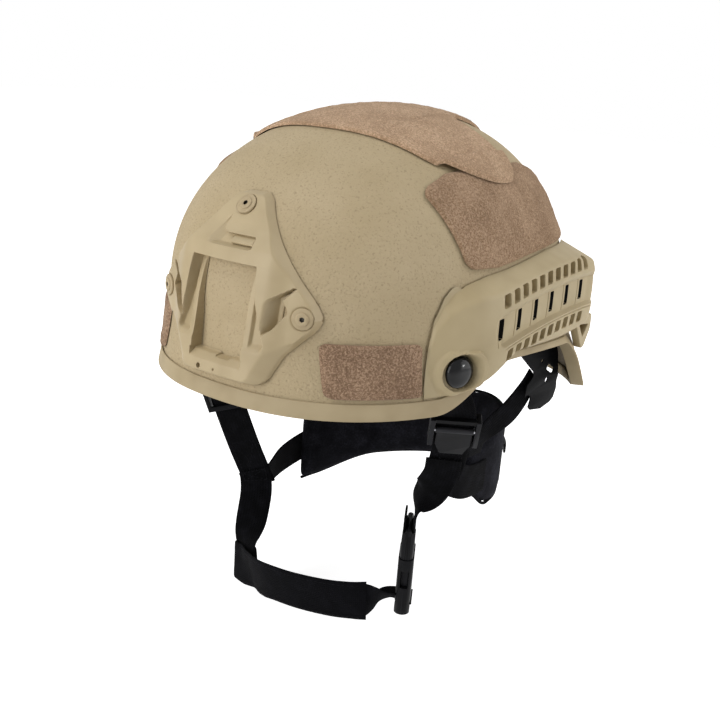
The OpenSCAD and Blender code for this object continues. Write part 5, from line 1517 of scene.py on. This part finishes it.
def placeCamera():
    # turned, tilted and rolled round a point near the helmet; returns its right and its direction backwards
    a, e, r = (math.radians(view[k]) for k in ("turn", "tilt", "roll"))
    back = np.array([math.sin(a) * math.cos(e), -math.cos(a) * math.cos(e), math.sin(e)])
    right0 = np.array([math.cos(a), math.sin(a), 0])
    up0 = np.cross(back, right0)
    eye = right0 * view["aimX"] + up0 * view["aimZ"] + back * view["away"]
    right, up = right0 * math.cos(r) + up0 * math.sin(r), up0 * math.cos(r) - right0 * math.sin(r)
    data = bpy.data.cameras.new("camera")
    data.lens, data.sensor_width, data.sensor_fit = view["lens"], view["sensor"], "HORIZONTAL"
    data.clip_start, data.clip_end = 0.01, 20
    camera = bpy.data.objects.new("camera", data)
    turn = Matrix((right, up, back)).transposed().to_4x4()
    camera.matrix_world = Matrix.Translation(Vector(eye * 0.001)) @ turn
    bpy.context.scene.collection.objects.link(camera)
    bpy.context.scene.camera = camera
    return right, back


right, back = placeCamera()

# Stage and light, in metres: pale floor, white world, large soft lamps and a small one for glints

stageForm = {"floorZ": -0.214, "floorHalf": 6, "floor": "#f2f2f2", "world": 0.2, "aim": (0, -0.02, 0.02)}
lampForm = {  # place along the camera's right, straight up and towards the camera; side; watts
    "keyLamp": ((-0.95, 0.15, 0.9), 0.9, 11.0),
    "sideLamp": ((1.25, 0.15, 0.3), 0.9, 5.0),
    "highLamp": ((-0.5, 1.15, 0.25), 0.8, 6.0),
    "rearLamp": ((0.95, 0.87, 0.02), 0.3, 4.0),
    "glintLamp": ((1.09, -0.05, 0.53), 0.12, 1.7),
}


def whiteRays(tree):
    # 1 for rays straight from the camera, or by way of a mirror or glass
    rays = addNode(tree, "LightPath")
    two = addNode(tree, "Math", {0: (rays, "Is Camera Ray"), 1: (rays, "Is Glossy Ray")}, operation="MAXIMUM")
    return addNode(tree, "Math", {0: (two, 0), 1: (rays, "Is Transmission Ray")}, operation="MAXIMUM")


def makeFloor():
    # pale matt floor that glows to white for the camera, and less so close to the helmet
    half, z = stageForm["floorHalf"], stageForm["floorZ"]
    mesh = bpy.data.meshes.new("floor")
    mesh.from_pydata([(-half, -half, z), (half, -half, z), (half, half, z), (-half, half, z)], [], [(0, 1, 2, 3)])
    floor = bpy.data.objects.new("floor", mesh)
    bpy.context.scene.collection.objects.link(floor)
    material = bpy.data.materials.new("paleFloor")
    material.use_nodes = True
    tree = material.node_tree
    tree.nodes.clear()
    path = whiteRays(tree)
    plain = addNode(tree, "BsdfDiffuse", {"Color": toLinear(stageForm["floor"])})
    spot = addNode(tree, "TexCoord")
    apart = addNode(tree, "VectorMath", {0: (spot, "Object")}, operation="LENGTH")
    strength = addNode(tree, "MapRange", {"Value": (apart, "Value"), "From Min": 0.25, "From Max": 0.75,
                                          "To Min": 0.72, "To Max": 1.1}, interpolation_type="SMOOTHSTEP")
    glow = addNode(tree, "Emission", {"Color": (1, 1, 1, 1), "Strength": (strength, 0)})
    both = addNode(tree, "AddShader", {0: (plain, 0), 1: (glow, 0)})
    shown = addNode(tree, "MixShader", {0: (path, 0), 1: (plain, 0), 2: (both, 0)})
    addNode(tree, "OutputMaterial", {"Surface": (shown, 0)})
    mesh.materials.append(material)


def addLamp(name, offset, size, power):
    # square area lamp aimed at the helmet
    data = bpy.data.lights.new(name, "AREA")
    data.shape, data.size, data.energy = "SQUARE", size, power
    lamp = bpy.data.objects.new(name, data)
    bpy.context.scene.collection.objects.link(lamp)
    spot = Vector((right * offset[0] + np.array([0, 0, 1.0]) * offset[1] + back * offset[2]))
    lamp.location = spot
    lamp.rotation_mode = "QUATERNION"
    lamp.rotation_quaternion = (spot - Vector(stageForm["aim"])).to_track_quat("Z", "Y")


def makeWorld():
    # plain white to the camera, and a faint even light for the rest
    world = bpy.data.worlds.new("world")
    bpy.context.scene.world = world
    world.use_nodes = True
    tree = world.node_tree
    tree.nodes.clear()
    path = whiteRays(tree)
    soft = addNode(tree, "Background", {"Color": (1, 1, 1, 1), "Strength": stageForm["world"]})
    white = addNode(tree, "Background", {"Color": (1, 1, 1, 1), "Strength": 1.0})
    shown = addNode(tree, "MixShader", {0: (path, 0), 1: (soft, 0), 2: (white, 0)})
    addNode(tree, "OutputWorld", {"Surface": (shown, 0)})


makeFloor()
makeWorld()
for lampName, (offset, size, power) in lampForm.items():
    addLamp(lampName, offset, size, power)
bpy.context.scene.view_settings.view_transform = "Standard"
print("stage ready")
